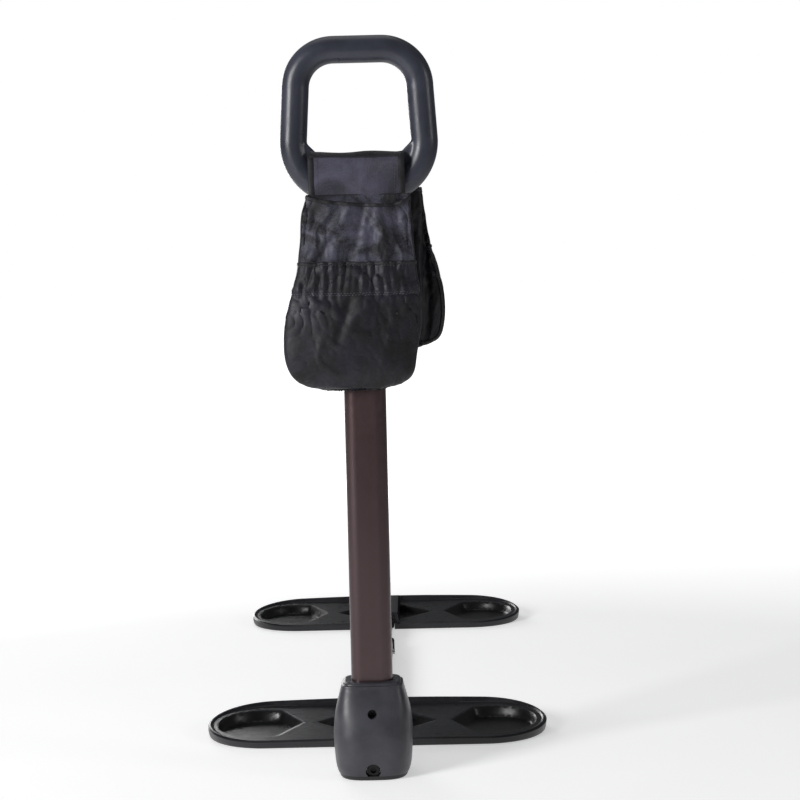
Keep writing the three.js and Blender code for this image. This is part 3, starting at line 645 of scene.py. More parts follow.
def post_collar():
    low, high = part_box("post_collar")
    inner_low, inner_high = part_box("inner_post")
    wall = (high.x - low.x - (inner_high.x - inner_low.x)) / 2 - 0.3 * MM
    cap = high.z - 7.7 * MM
    round_off = 1.6 * MM
    path = [(0, cap), (0, high.z - round_off)]
    for step in range(1, 5):
        angle = math.pi / 2 * step / 4
        inset = round_off * (1 - math.cos(angle))
        path.append((inset, high.z - round_off * (1 - math.sin(angle))))
    path += [(wall - 0.6 * MM, high.z), (wall, high.z - 0.6 * MM), (wall, cap)]
    size = high - low
    collar = ring_solid("post_collar_cap", size.x, size.y, 13.5 * MM, path, BLACK, steps=12)
    place(collar, "base", "black_plastic", "post_collar")


# ---- The shoe ----
SHOE_SQUARENESS = 3.2  # power of the superellipse round the shoe: 2 is an ellipse
GROOVE_PITCH = 8 * MM
# The shoe's sections from the top down: share of its height, of its width and of its depth.
SHOE_SECTIONS = [
    (1.0, 0.725, 0.538),
    (0.968, 0.775, 0.578),
    (0.914, 0.8, 0.611),
    (0.774, 0.883, 0.744),
    (0.656, 0.95, 0.844),
    (0.538, 0.985, 0.922),
    (0.398, 1.0, 0.978),
    (0.226, 0.983, 1.0),
    (0.097, 0.958, 0.985),
    (0.03, 0.925, 0.96),
    (0.0, 0.9, 0.94),
]


def shoe():
    low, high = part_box("shoe_cover")
    size = high - low
    at = np.linspace(0, len(SHOE_SECTIONS) - 1, 60)
    smooth = catmull(SHOE_SECTIONS, at) * np.array([size.z, size.x / 2 * 1.03, size.y / 2])
    smooth[:, 0] += low.z
    rim = 2.2 * MM
    sections = [(high.z, smooth[0][1] - 2 * rim, smooth[0][2] - 2 * rim)]
    for step in range(5):
        angle = math.pi / 2 * step / 4
        inset = rim * (1 - math.sin(angle))
        height = high.z - rim * (1 - math.cos(angle))
        sections.append((height, smooth[0][1] - inset, smooth[0][2] - inset))
    sections += [tuple(row) for row in smooth if row[0] < high.z - rim - 0.5 * MM]
    angles = np.linspace(0, 2 * math.pi, 96, endpoint=False)
    rings = []
    for height, half_x, half_y in sections:
        squareness = SHOE_SQUARENESS + 1.6 * smooth_step(0.5, 0.95, (height - low.z) / size.z)
        ex, ey = superellipse(angles, squareness)
        rings.append(level_ring(np.column_stack([half_x * ex, half_y * ey]), height))
    obj = lofted("shoe_moulding", rings)
    cut_shoe(obj, low, high)
    place(finish_surface(obj, SHOE, 38), "base", "shoe_plastic", "shoe_cover")


def cut_shoe(obj, low, high):
    """Opens the shoe for the post, the two bolts and the floor bar."""
    post_low, post_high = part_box("outer_post")
    width, depth = post_high.x - post_low.x + 0.6 * MM, post_high.y - post_low.y + 0.6 * MM
    hollow = rounded_outline(width, depth, 12.3 * MM, 12)
    socket = lofted("socket", [level_ring(hollow, z) for z in (high.z - 22 * MM, high.z + 5 * MM)])
    bolt_low, bolt_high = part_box("post_bolt")
    bolt_z = (bolt_low.z + bolt_high.z) / 2
    bolt_radius = (bolt_high.z - bolt_low.z) / 2 + 0.5 * MM
    upper = cylinder("upper", (0, low.y - MM, bolt_z), (0, bolt_high.y, bolt_z), bolt_radius, 40)
    bar_low, bar_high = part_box("bar_bolt")
    bar_z = (bar_low.z + bar_high.z) / 2
    bar_radius = (bar_high.z - bar_low.z) / 2 + 1.2 * MM
    lower = cylinder("lower", (0, low.y - MM, bar_z), (0, bar_low.y + 9 * MM, bar_z), bar_radius, 44)
    boolean(obj, [socket, upper, lower, bar_tunnel(0, high.y + 10 * MM, low.z - MM)])


def bar_tunnel(front, back, bottom=-MM):
    """The room that the floor bar takes, with a little air round it."""
    low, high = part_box("base_bar_outer")
    gap = 0.4 * MM
    return block("tunnel", (low.x - gap, front, bottom), (high.x + gap, back, high.z + gap))


def shoe_sole():
    low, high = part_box("shoe_sole")
    ex, ey = superellipse(np.linspace(0, 2 * math.pi, 72, endpoint=False), SHOE_SQUARENESS)
    half_x, half_y = (high.x - low.x) / 2 * 1.04, (high.y - low.y) / 2 * 1.02
    rings = []
    for height, share in ((high.z, 1.0), (1.2 * MM, 0.99), (0.4 * MM, 0.97), (0, 0.93)):
        rings.append(level_ring(np.column_stack([half_x * share * ex, half_y * share * ey]), height))
    obj = lofted("shoe_sole_pad", rings)
    grooves = []
    for step in range(-4, 5):
        y = step * GROOVE_PITCH
        grooves.append(block("groove", (-0.06, y - 0.9 * MM, -MM), (0.06, y + 0.9 * MM, 0.7 * MM)))
    boolean(obj, grooves)
    place(finish_surface(obj, BLACK, 30), "base", "sole_rubber", "shoe_sole")


# ---- The trays ----
CUP_RADIUS = 49 * MM
CUP_TIP = 46 * MM  # distance of the cup's point from its centre
CUP_POINT = math.radians(60)  # half the angle of that point
# Insets and heights of the rounded foot below the tray's wall.
TRAY_FOOT = [(3.6 * MM, 0), (2.6 * MM, 0.7 * MM), (1.6 * MM, 2 * MM), (0.7 * MM, 5.5 * MM)]
END_DROP = 4 * MM  # how much lower the rim's ends are than its middle
RIDGE_EDGE = (17 * MM, 20 * MM)  # where the raised ridge over the bar starts and ends to fall away


def cup_depth(x, y, centre):
    """Distance inside the edge of a round cup with a point towards the middle of the tray."""
    ax = np.abs(x)
    circle = CUP_RADIUS - np.hypot(ax - centre, y)
    point = (ax - centre + CUP_TIP) * math.sin(CUP_POINT) - np.abs(y) * math.cos(CUP_POINT)
    return np.minimum(circle, point)


def wedge_depth(x, y):
    """Distance inside the edge of the pointed recess beside the bar."""
    ax = np.abs(x)
    half = 44 * MM * (1 - np.clip(ax - 18 * MM, 0, None) / (49 * MM))
    return (half - np.abs(y)) * 0.72


def tray_height(x, y, inward, low, high, floor):
    """Height of the tray's upper skin, from the place and the distance in from the rim."""
    size = high - low
    out = np.clip((np.abs(x) - 30 * MM) / (size.x / 2 - 30 * MM), 0, 1)
    share = RIM_NEAR_SHARE + (1 - RIM_NEAR_SHARE) * (y / size.y + 0.5)
    rim_top = (size.z - END_DROP * out**1.5) * share
    rim = rim_top - 1.8 * MM * (1 - smooth_step(0, 2.4 * MM, inward))
    inside = smooth_step(3.0 * MM, 6.5 * MM, inward)
    level = DECK_FAR * share
    cup = cup_depth(x, y, MOUNTS["front_right_cup"].x)
    level = level + (floor - level) * smooth_step(-0.5 * MM, 5.5 * MM, cup)
    beside_bar = smooth_step(*RIDGE_EDGE, np.abs(x))
    level = level + (floor - level) * smooth_step(0, 5 * MM, wedge_depth(x, y)) * beside_bar
    ridge = (1 - beside_bar) * smooth_step(0, 3 * MM, inward)
    surface = rim + (level - rim) * inside
    return surface + (size.z - surface) * ridge


def tray(name, node, body):
    low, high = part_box(node)
    floor = MOUNTS["front_right_cup"].z
    radius = (high.y - low.y) / 2
    straight = (high.x - low.x) / 2 - radius
    middle_y = (low.y + high.y) / 2
    sides, ends = 84, 64
    along = np.linspace(-straight, straight, sides, endpoint=False)
    turn = np.linspace(-math.pi / 2, math.pi / 2, ends, endpoint=False)
    centre = np.concatenate([along, np.full(ends, straight), -along, np.full(ends, -straight)])
    facing = [np.full(sides, -math.pi / 2), turn, np.full(sides, math.pi / 2), turn + math.pi]
    facing = np.concatenate(facing)
    rings = []
    inner_steps = np.concatenate([np.linspace(0, 10 * MM, 15), np.linspace(11.5 * MM, radius, 40)])
    for inset, height in TRAY_FOOT + [(step, None) for step in inner_steps]:
        x = centre + (radius - inset) * np.cos(facing)
        y = (radius - inset) * np.sin(facing)
        if height is None:
            height = tray_height(x, y, inset, low, high, floor)
        rings.append(np.column_stack([x, y + middle_y, np.full(len(x), height)]))
    faces = grid_faces(len(rings), len(centre))
    faces.append(tuple(reversed(range(len(centre)))))
    obj = mesh_object(name, np.concatenate(rings), faces)
    weld_middle(obj)
    boolean(obj, [bar_tunnel(low.y - 5 * MM, high.y + 5 * MM)])
    place(finish_surface(obj, TRAY, 40), body, "tray_plastic", node)


def weld_middle(obj):
    """Closes the tray's skin along its middle line, where the innermost ring meets itself."""
    work = bmesh.new()
    work.from_mesh(obj.data)
    bmesh.ops.remove_doubles(work, verts=work.verts, dist=0.02 * MM)
    bmesh.ops.dissolve_degenerate(work, edges=work.edges, dist=1e-6)
    edges = [edge for edge in work.edges if edge.is_boundary]
    if edges:
        bmesh.ops.holes_fill(work, edges=edges)
    work.to_mesh(obj.data)
    work.free()
    outward(obj, weld=0)


# ---- The pouch ----
CLOTH_SETTINGS = {
    "quality": 6,
    "mass": 0.25,
    "tension_stiffness": 20,
    "compression_stiffness": 12,
    "shear_stiffness": 8,
    "bending_stiffness": 1.2,
}
BAG_SIDES = 72
BAG_RINGS = 54
BAG_POWER = 2.4  # squareness of the bag's sections
BAG_PUFF = 0.5  # how much deeper the bag's belly is than its mouth
POCKET_RISE = 8.5 * MM  # how far the gathered hem pulls the pocket up the bag
POCKET_SWELL = 3.5 * MM
PLEAT_PITCH = 8 * MM
STITCH_PITCH = 3.4 * MM
STITCH_LENGTH = 2.3 * MM
STITCH_RADIUS = 0.35 * MM
STITCH_DROPS = (5 * MM, 34 * MM, 37 * MM)  # distances of the stitch rows below the pocket's hem
SADDLE_HALF_WIDTH = 47 * MM
SADDLE_BEND = 12 * MM  # radius of the strap's fold over the web
REAR_SHIFT = 13 * MM  # sideways lean of the strap's rear fall
# Drag folds that fan out below the strap: where each starts across the bag, its lean, width and height.
DRAG_FOLDS = (
    (-38 * MM, -0.2, 6 * MM, 0.8),
    (-6 * MM, -0.75, 7 * MM, 1.5),
    (8 * MM, -0.42, 5 * MM, -1.3),
    (20 * MM, 0.1, 7 * MM, 1.1),
    (34 * MM, 0.3, 5 * MM, -0.9),
)


def hang(obj, *nodes):
    return place(obj, "handle", "pouch_fabric", *nodes)


def bag_grid(node):
    """Rings of points down a bag, smooth through the CAD bag's own rings: an array ring, side, xyz."""
    levels = outline_levels(node, 18)
    along = catmull(levels, np.linspace(0, len(levels) - 1, BAG_RINGS))
    angles = np.linspace(0, 2 * math.pi, BAG_SIDES, endpoint=False)
    ex, ey = superellipse(angles, BAG_POWER)
    side = 1 if levels[0][3] > 0 else -1
    inner = min(abs(y) - half_y for _, _, _, y, half_y in levels)
    grid = np.zeros((BAG_RINGS, BAG_SIDES, 3))
    outer = np.clip(side * ey, 0, 1)
    for ring, (z, x, half_x, _, half_y) in enumerate(along):
        share = ring / (BAG_RINGS - 1)
        mouth = 0.75 + 0.25 * smooth_step(0, 0.2, share)
        closing = 1 - 0.4 * smooth_step(0.93, 1.0, share)
        half = half_y * (mouth + BAG_PUFF * smooth_step(0.3, 0.75, share)) * closing
        near_mouth = 1 - smooth_step(0, 0.22, share)
        across = 0.5 + 0.5 * ex
        grid[ring, :, 0] = x + (half_x * 0.985 - MM) * closing * ex
        grid[ring, :, 1] = side * (inner + half) + half * ey
        grid[ring, :, 2] = z - near_mouth * outer * (5 * MM + 8 * MM * across)
    return grid, side, inner


def bag_faces(rings, sides):
    faces = grid_faces(rings, sides)
    top = rings * sides
    faces += [(side, top, (side + 1) % sides) for side in range(sides)]
    last = (rings - 1) * sides
    faces += [(last + side, last + (side + 1) % sides, top + 1) for side in range(sides)]
    return faces


def simulate(obj, pressure):
    """Runs the cloth simulation of an object with a group of pins and returns the moved vertices."""
    cloth = obj.modifiers.new("cloth", "CLOTH")
    settings = cloth.settings
    for key, value in CLOTH_SETTINGS.items():
        setattr(settings, key, value)
    settings.use_pressure = True
    settings.uniform_pressure_force = pressure
    settings.vertex_group_mass = "pins"
    settings.effector_weights.gravity = 0.25
    scene = bpy.context.scene
    for number in range(1, 21):
        scene.frame_set(number)
    solved = obj.evaluated_get(bpy.context.evaluated_depsgraph_get())
    moved = np.array([v.co for v in solved.to_mesh().vertices])
    solved.to_mesh_clear()
    scene.frame_set(1)
    return moved


def inflate(grid, side, inner, pressure, cap):
    """Swells a bag that is held at its mouth, with no point moved further than the cap."""
    rings, sides, _ = grid.shape
    points = grid.reshape(-1, 3)
    ends = np.array([grid[0].mean(0), grid[-1].mean(0)])
    obj = outward(mesh_object("cloth_bag", np.vstack([points, ends]), bag_faces(rings, sides)), weld=0)
    pins = obj.vertex_groups.new(name="pins")
    pins.add(list(range(3 * sides)) + [rings * sides], 1.0, "REPLACE")
    step = simulate(obj, pressure)[: rings * sides] - points
    bpy.data.objects.remove(obj)
    length = np.linalg.norm(step, axis=1)
    step *= np.minimum(1, cap / np.maximum(length, 1e-9))[:, None]
    settled = (points + step).reshape(grid.shape)
    settled[:, :, 1] = side * np.maximum(side * settled[:, :, 1], inner)
    return settled


def refine(grid, factor=3):
    """A finer grid through the same points: smooth along the rings and round them."""
    rings, sides, _ = grid.shape
    flat = grid.reshape(rings, -1)
    finer = catmull(flat, np.linspace(0, rings - 1, (rings - 1) * factor + 1)).reshape(-1, sides, 3)
    wrapped = np.concatenate([finer[:, -2:], finer, finer[:, :3]], axis=1).transpose(1, 0, 2)
    count = finer.shape[0]
    at = 2 + np.arange(sides * factor) / factor
    smooth = catmull(wrapped.reshape(sides + 5, -1), at)
    return smooth.reshape(sides * factor, count, 3).transpose(1, 0, 2)


def grid_normals(grid):
    around = np.roll(grid, -1, axis=1) - np.roll(grid, 1, axis=1)
    along = np.gradient(grid, axis=0)
    normal = np.cross(around, along)
    normal /= np.maximum(np.linalg.norm(normal, axis=2), 1e-12)[:, :, None]
    middle = grid.mean(axis=1, keepdims=True)
    inward = ((grid - middle) * normal).sum(axis=2).mean() < 0
    return -normal if inward else normal


def push(grid, amount):
    return grid + grid_normals(grid) * amount[:, :, None]


def wrinkles(grid, seed, strength):
    """Swirling folds, stronger near the mouth, with sharper creases laid over them."""
    share = np.linspace(0, 1, len(grid))[:, None]
    spread = grid * np.array([1.0, 0.6, 0.8])
    swirl = np.stack([noise_at(spread, 22, seed + k) for k in (5, 6, 7)], axis=2)
    warped = spread + swirl * 14 * MM
    broad = noise_at(warped, 30, seed)
    crease = np.clip(1 - np.abs(noise_at(warped, 42, seed + 2)) * 3.2, 0, 1) ** 1.5
    small = np.clip(1 - np.abs(noise_at(warped, 95, seed + 3)) * 3, 0, 1) ** 2
    fade = 0.3 + 0.7 * np.exp(-(((share - 0.18) / 0.24) ** 2))
    return strength * fade * (1.2 * broad + 1.0 * crease - 0.45 * small + drag_folds(warped))


def drag_folds(points):
    """Long folds that hang from the strap, each one a soft ridge with a steeper right side."""
    top = points[:, :, 2].max()
    down = top - points[:, :, 2]
    total = np.zeros(points.shape[:2])
    for start, lean, width, height in DRAG_FOLDS:
        off = points[:, :, 0] - start - lean * down
        reach = np.where(off < 0, 1.6 * width, 0.7 * width)
        total += height * np.exp(-((off / reach) ** 2))
    return total * np.exp(-((np.clip(down - 45 * MM, 0, None) / (30 * MM)) ** 2))


def cloth_shell(name, grid, normal, thickness, material, bag=False):
    """Cloth with thickness: the grid, a second skin inside it, and rims that join their edges.

    A bag is closed all round and at its bottom. Any other grid is a loose sheet.
    """
    rings, sides, _ = grid.shape
    points = np.vstack([grid.reshape(-1, 3), (grid - normal * thickness).reshape(-1, 3)])
    half = rings * sides
    low = half - sides
    faces = grid_faces(rings, sides, closed_around=bag)
    faces += [tuple(half + i for i in reversed(face)) for face in faces]
    rims = [(side, (side + 1) % sides) for side in range(sides if bag else sides - 1)]
    if bag:
        faces += [tuple(range(low, half)), tuple(reversed(range(half + low, 2 * half)))]
    else:
        rims += [(low + side, low + side + 1) for side in range(sides - 1)]
        rims += [(start, start + sides) for start in range(0, low, sides)]
        rims += [(start, start + sides) for start in range(sides - 1, low, sides)]
    faces += [(a, b, half + b, half + a) for a, b in rims]
    return finish_surface(outward(mesh_object(name, points, faces), weld=0), material)


def tape_along(name, curve, normals, width, thickness, material, closed=False):
    """A flat tape with rounded edges that follows a curve and lies across the given normals."""
    curve = np.asarray(curve)
    count = len(curve)
    if closed:
        run = np.roll(curve, -1, axis=0) - np.roll(curve, 1, axis=0)
    else:
        run = np.gradient(curve, axis=0)
    run /= np.linalg.norm(run, axis=1)[:, None]
    normals = normals - (normals * run).sum(1)[:, None] * run
    normals /= np.linalg.norm(normals, axis=1)[:, None]
    across = np.cross(run, normals)
    fullness = np.ones(count)
    if not closed:
        from_end = np.minimum(np.arange(count), count - 1 - np.arange(count))
        fullness = 0.3 + 0.7 * smooth_step(0, 8, from_end)
    sides = 12
    ex, ey = superellipse(np.linspace(0, 2 * math.pi, sides, endpoint=False), 3.0)
    points = []
    for centre, normal, wide, full in zip(curve, normals, across, fullness):
        for x, y in zip(ex, ey):
            points.append(centre + (wide * (width / 2 * x) + normal * (thickness / 2 * y)) * full)
    faces = grid_faces(count, sides, closed_along=closed)
    if not closed:
        faces += [tuple(reversed(range(sides))), tuple((count - 1) * sides + i for i in range(sides))]
    return finish_surface(outward(mesh_object(name, points, faces), weld=0), material)


def stitches(curve, normals):
    """Points and faces of a row of short raised stitches along a curve."""
    steps = np.linalg.norm(np.diff(curve, axis=0), axis=1)
    travelled = np.concatenate([[0], np.cumsum(steps)])
    round_ring = [(math.cos(math.pi / 3 * side), math.sin(math.pi / 3 * side)) for side in range(6)]
    points, faces = [], []
    at = STITCH_PITCH / 2
    while at + STITCH_LENGTH < travelled[-1]:
        along = at + STITCH_LENGTH * np.array([0.0, 0.5, 1.0])
        line = np.column_stack([np.interp(along, travelled, curve[:, axis]) for axis in range(3)])
        out = np.array([np.interp(at, travelled, normals[:, axis]) for axis in range(3)])
        out /= np.linalg.norm(out)
        run = line[2] - line[0]
        run /= np.linalg.norm(run)
        wide = np.cross(run, out)
        start = len(points)
        for centre, share in zip(line, (0.45, 1.0, 0.45)):
            points += [centre + (wide * x + out * y) * STITCH_RADIUS * share for x, y in round_ring]
        faces += grid_faces(3, 6, start=start)
        faces += [tuple(reversed(range(start, start + 6))), tuple(range(start + 12, start + 18))]
        at += STITCH_PITCH
    return points, faces


def stitch_object(name, rows):
    points, faces = [], []
    for curve, normals in rows:
        more_points, more_faces = stitches(curve, normals)
        faces += [tuple(len(points) + i for i in face) for face in more_faces]
        points += more_points
    hang(mesh_object(name, points, faces, THREAD))


def pocket_sheet(grid, side, top):
    """The part of the bag's outer face that lies below the hem, with its normals."""
    sides = grid.shape[1]
    start = sides // 4 if side < 0 else 3 * sides // 4
    trim = int(sides * 0.21)
    below = grid[:, :, 2].mean(axis=1) < top
    for rows in (grid, grid_normals(grid)):
        yield np.roll(rows[below], -start, axis=1)[:, trim : sides - trim + 1]


def pocket_relief(sheet, top, seed):
    """How far the pocket stands off the bag: a belly, gathers below the hem, a waist and a crease."""
    across = sheet[:, :, 0]
    drop = (top - sheet[:, :, 2].mean(axis=1))[:, None]
    edge = 1 - np.abs(np.linspace(-1, 1, sheet.shape[1])) ** 2.5
    belly = np.sin(np.pi * np.clip(drop / drop[-1, 0], 0, 1) ** 0.9) * 0.8 + 0.2
    drift = noise_at(sheet, 30, seed)
    slow = noise_at(sheet * np.array([1, 1, 0.6]), 32, seed + 3)
    band = (1 - smooth_step(30 * MM, 44 * MM, drop)) * smooth_step(0, 5 * MM, drop)
    pleats = np.sin(across / PLEAT_PITCH * 2 * math.pi + 3.0 * drift) * band * (0.55 + 0.9 * slow)
    waist = np.exp(-(((drop - 35 * MM) / (3 * MM)) ** 2))
    lean = across + (drop - 36 * MM) * 0.3
    crease = np.exp(-(((lean + 10 * MM) / (4 * MM)) ** 2)) * smooth_step(34 * MM, 42 * MM, drop)
    crease = crease * (1 - smooth_step(60 * MM, 95 * MM, drop))
    relief = POCKET_SWELL * belly + 1.1 * MM * pleats + 1.6 * MM * slow
    relief = relief - 2.4 * MM * crease - 1.2 * MM * waist
    return np.maximum(0.9 * MM + edge * relief, 0.6 * MM)


def bag(name, node, pocket_node, material, pocket_material, seed):
    grid, side, inner = bag_grid(node)
    grid = inflate(grid, side, inner, 2.6, 4 * MM)
    grid = refine(grid)
    back = smooth_step(0, 2.5 * MM, side * grid[:, :, 1] - inner)
    turned = smooth_step(0.5, 0.95, np.abs(grid_normals(grid)[:, :, 0]))
    grid = push(grid, wrinkles(grid, seed, 2.5 * MM) * back * (1 - 0.85 * turned))
    grid[:, :, 1] = side * np.maximum(side * grid[:, :, 1], inner)
    hang(cloth_shell(name, grid, grid_normals(grid), 1.5 * MM, material, bag=True), node)
    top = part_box(pocket_node)[1].z + POCKET_RISE
    face, normal = pocket_sheet(grid, side, top)
    sheet = face + normal * pocket_relief(face, top, seed + 10)[:, :, None]
    pocket = cloth_shell(name + "_pocket", sheet, grid_normals(sheet), 1.3 * MM, pocket_material)
    hang(pocket, pocket_node)
    trim_bag(name, grid, sheet, normal)


def trim_bag(name, grid, sheet, normal):
    """Hem tapes, edge binding and stitching."""
    normals = grid_normals(grid)
    hang(tape_along(name + "_mouth_hem", grid[1], normals[1], 4 * MM, 2.4 * MM, BINDING, closed=True))
    pocket_curve = sheet[1] + normal[1] * 0.3 * MM
    hang(tape_along(name + "_pocket_hem", pocket_curve, normal[1], 3.4 * MM, 1.8 * MM, BINDING))
    edge_curve, edge_normals = silhouette(grid)
    hang(tape_along(name + "_piping", edge_curve, edge_normals, 2.6 * MM, 2.6 * MM, BINDING))
    spacing = np.linalg.norm(sheet[1, :, :] - sheet[0, :, :], axis=1).mean()
    rows = []
    for drop in STITCH_DROPS:
        index = min(int(round(drop / spacing)), sheet.shape[0] - 2)
        rows.append((sheet[index] + normal[index] * 0.15 * MM, normal[index]))
    stitch_object(name + "_stitching", rows)


def silhouette(grid):
    """The bag's edge: down one side, round the bottom and up the other, midway through its depth."""
    left, right = grid[:, :, 0].argmin(axis=1), grid[:, :, 0].argmax(axis=1)
    rings = np.arange(len(grid))
    stop = len(grid) - 2
    down = grid[rings[:stop], left[:stop]]
    up = grid[rings[:stop], right[:stop]][::-1]
    low_left, low_right = down[-1], up[0]
    across = np.linspace(0, 1, 26)[1:-1, None]
    bottom = low_left + (low_right - low_left) * across
    bottom[:, 2] = grid[-1, :, 2].mean() - 0.2 * MM
    curve = np.vstack([down, bottom, up])
    smooth = curve.copy()
    for _ in range(6):
        smooth[1:-1] = (smooth[:-2] + 2 * smooth[1:-1] + smooth[2:]) / 4
    centre = np.array([grid[:, :, 0].mean(), smooth[:, 1].mean(), grid[:, :, 2].mean() + 0.02])
    out = smooth - centre
    out[:, 1] = 0
    return smooth, out


def saddle_path(reach, foot):
    """The strap's course over the web, as rows of y and z."""
    bend = SADDLE_BEND
    path = [(-reach, foot + (FOLD_TOP - bend - foot) * step / 30) for step in range(30)]
    for step in range(17):
        angle = math.pi - math.pi / 2 * step / 16
        y = bend - reach + bend * math.cos(angle)
        path.append((y, FOLD_TOP - bend + bend * math.sin(angle)))
    return np.array(path + [(-y, z) for y, z in reversed(path)])


def saddle_grid(path, reach, foot):
    """Points of the strap, row by row, that follow its course and lean a little with the bags."""
    across = np.linspace(-1, 1, 72)
    curl = np.clip(np.abs(across) - 0.86, 0, 1) ** 1.5 * 14 * MM
    middle = (SADDLE_HIGH.x + SADDLE_LOW.x) / 2 + MM
    grid = np.zeros((len(path), len(across), 3))
    for row, (y, z) in enumerate(path):
        drop = np.clip((FOLD_TOP - z) / (FOLD_TOP - foot), 0, 1)
        to_rear = smooth_step(-reach, reach, y) * drop
        half = SADDLE_HALF_WIDTH - 6 * MM * to_rear
        grid[row, :, 0] = middle + to_rear * REAR_SHIFT + half * across
        grid[row, :, 1] = y
        grid[row, :, 2] = z + curl * (1 - drop) ** 2
    return grid


def saddle():
    """The strap that joins the two bags: a soft sheet over the web, bound and stitched at its edges."""
    reach = (SADDLE_HIGH.y - SADDLE_LOW.y) / 2
    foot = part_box("pouch_front_bag")[1].z - 16 * MM
    path = saddle_path(reach, foot)
    grid = saddle_grid(path, reach, foot)
    ripple = noise_at(grid * np.array([0.7, 1, 1.4]), 40, 4)
    normal = sheet_normals(grid)
    normal *= np.sign((normal[0, :, 1] * -1).mean())
    grid += normal * (ripple * 2.4 * MM)[:, :, None]
    hang(cloth_shell("pouch_saddle_strap", grid, normal, 2.6 * MM, STRAP_CLOTH), "pouch_saddle")
    fold = np.where(np.abs(path[:, 0]) < reach - 3 * MM)[0]
    rows = slice(fold[0] - 2, fold[-1] + 3)
    raised = grid[rows] + normal[rows] * 0.9 * MM
    hang(cloth_shell("saddle_fold_pad", raised, normal[rows], 1.2 * MM, BINDING))
    for edge, label in ((1, "left"), (-2, "right")):
        inside = grid[:, edge] - normal[:, edge] * 1.3 * MM
        hang(tape_along(f"saddle_binding_{label}", inside, normal[:, edge], 7 * MM, 4.0 * MM, BINDING))
    seams = [(grid[:, edge] + normal[:, edge] * 0.1 * MM, normal[:, edge]) for edge in (6, -7)]
    stitch_object("saddle_stitching", seams)


def sheet_normals(grid):
    normal = np.cross(np.gradient(grid, axis=1), np.gradient(grid, axis=0))
    return normal / np.maximum(np.linalg.norm(normal, axis=2), 1e-12)[:, :, None]


# ---- Springs, and CAD pieces that stay as they are ----
KEPT_NODES = (
    (STEEL, "handle_core", "handle_neck", "neck_rivet", "base_spigot", "post_nut", "bar_thread_block"),
    (STEEL, "height_button", "length_button"),
    (BLACK, "inner_post_glide", "bar_collar", "bar_front_glide", "bar_end_plug", "rear_pan_sleeve"),
    (SCREW, "post_bolt", "bar_bolt", "front_pan_screw_near", "front_pan_screw_far"),
    (SCREW, "rear_pan_screw_near", "rear_pan_screw_far"),
)


def leaf_spring(node, body, along, fixed):
    """A copy of the CAD node's V spring of bent strip, in steel and on its body, kept in its modelled
    shape.
    """
    source = frame["nodes"][node]
    obj = bpy.data.objects.new(node + "_strip", source.data.copy())
    obj.matrix_world = source.matrix_world
    bpy.context.scene.collection.objects.link(obj)
    finish_surface(obj, STEEL, 30)
    low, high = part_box(node)
    axis = max(range(3), key=lambda index: abs(along[index]))
    anchor = (low + high) / 2
    anchor[axis] = (high if fixed == "high" else low)[axis]
    place(obj, body, "bare_steel", node)
    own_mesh(obj)


def dress_kept_nodes():
    for material, *nodes in KEPT_NODES:
        for node in nodes:
            slots = frame["nodes"][node].data.materials
            slots.clear()
            slots.append(material)


# ---- Studio ----
# Soft lights: name, place, target, size in metres and power in watts.
LIGHTS = (
    ("key", (-2.2, -1.8, 1.3), (0, 0, 0.4), 0.9, 68),
    ("fill", (2.5, -0.9, 1.2), (0, 0, 0.4), 0.7, 8),
    ("top", (-0.2, 0.6, 2.4), (0, 0.1, 0.3), 1.4, 4),
    ("back", (-0.95, 2.6, 0.7), (-0.1, 0.1, 0.1), 1.0, 20),
)
FLOOR_RADIUS = 14


def studio():
    """A wide pale floor under soft lights."""
    around = np.linspace(0, 2 * math.pi, 64, endpoint=False)
    points = [(FLOOR_RADIUS * math.cos(angle), FLOOR_RADIUS * math.sin(angle), 0) for angle in around]
    mesh_object("studio_floor", points, [tuple(range(64))], pale_floor())
    studio_world()
    for light in LIGHTS:
        soft_light(*light)
    bpy.context.scene.view_settings.view_transform = "Standard"


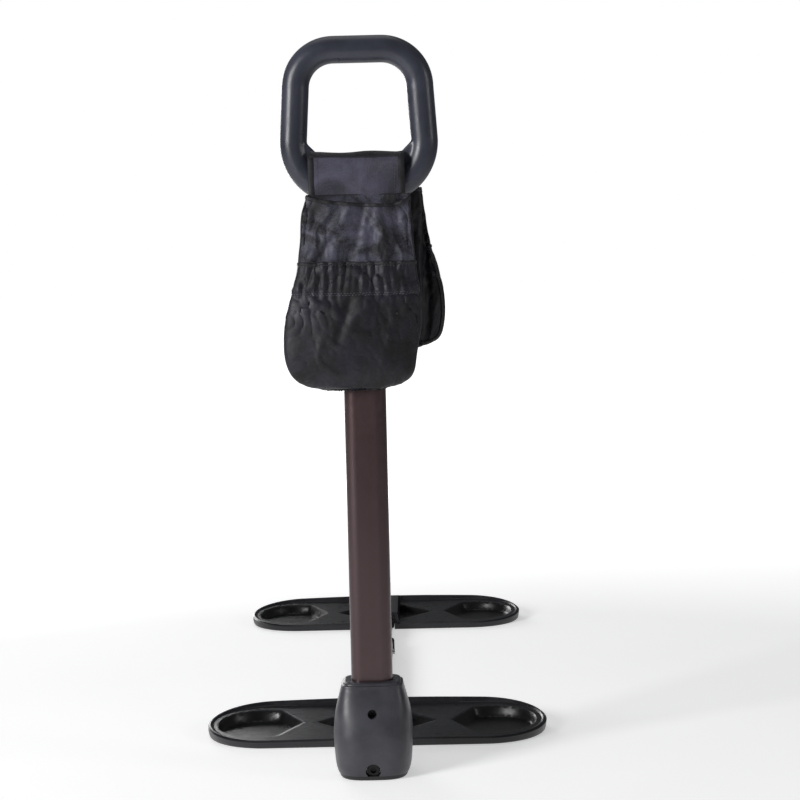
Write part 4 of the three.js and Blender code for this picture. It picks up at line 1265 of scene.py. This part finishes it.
def studio_world():
    """White where the camera sees it, and dimmer where it lights the object."""
    world = bpy.data.worlds.new("studio")
    bpy.context.scene.world = world
    world.use_nodes = True
    tree = world.node_tree
    shown = tree.nodes["Background"]
    shown.inputs["Color"].default_value = (1, 1, 1, 1)
    shown.inputs["Strength"].default_value = 1.0
    lit = tree.nodes.new("ShaderNodeBackground")
    lit.inputs["Color"].default_value = (0.95, 0.97, 1, 1)
    lit.inputs["Strength"].default_value = 0.1
    path = tree.nodes.new("ShaderNodeLightPath")
    mix = tree.nodes.new("ShaderNodeMixShader")
    tree.links.new(path.outputs["Is Camera Ray"], mix.inputs["Fac"])
    tree.links.new(lit.outputs["Background"], mix.inputs[1])
    tree.links.new(shown.outputs["Background"], mix.inputs[2])
    tree.links.new(mix.outputs["Shader"], tree.nodes["World Output"].inputs["Surface"])


def soft_light(name, place, target, size, power):
    data = bpy.data.lights.new(name, "AREA")
    data.size = size
    data.energy = power
    lamp = bpy.data.objects.new(name, data)
    lamp.visible_camera = False
    lamp.location = place
    direction = Vector(target) - Vector(place)
    lamp.rotation_euler = direction.to_track_quat("-Z", "Y").to_euler()
    bpy.context.scene.collection.objects.link(lamp)


CAMERA_DISTANCE = 2.209
CAMERA_HEIGHT = 0.583
CAMERA_AZIMUTH = math.radians(1.52)
CAMERA_YAW = math.radians(0.93)
CAMERA_PITCH = math.radians(-5.02)
CAMERA_ROLL = math.radians(-1.35)
LENS = 96.75


def camera():
    data = bpy.data.cameras.new("camera")
    data.lens = LENS
    data.sensor_width = 36
    data.clip_end = 50
    obj = bpy.data.objects.new("camera", data)
    place = (
        CAMERA_DISTANCE * math.sin(CAMERA_AZIMUTH),
        -CAMERA_DISTANCE * math.cos(CAMERA_AZIMUTH),
        CAMERA_HEIGHT,
    )
    heading = CAMERA_AZIMUTH - CAMERA_YAW
    turn = Matrix.Rotation(heading, 4, "Z") @ Matrix.Rotation(math.pi / 2 + CAMERA_PITCH, 4, "X")
    obj.matrix_world = Matrix.Translation(place) @ turn @ Matrix.Rotation(CAMERA_ROLL, 4, "Z")
    bpy.context.scene.collection.objects.link(obj)
    bpy.context.scene.camera = obj


# ---- Build ----
grip()
tubes()
post_collar()
shoe()
shoe_sole()
tray("front_tray", "front_pan", "base")
tray("rear_tray", "rear_pan", "rear_base")
saddle()
bag("front_bag", "pouch_front_bag", "pouch_front_pocket", CLOTH, POCKET_CLOTH, 3)
bag("rear_bag", "pouch_rear_bag", "pouch_rear_pocket", REAR_CLOTH, REAR_CLOTH, 8)
leaf_spring("height_button_spring", "handle", (0, 1, 0), "high")
leaf_spring("length_button_spring", "rear_base", (1, 0, 0), "low")
dress_kept_nodes()
studio()
camera()
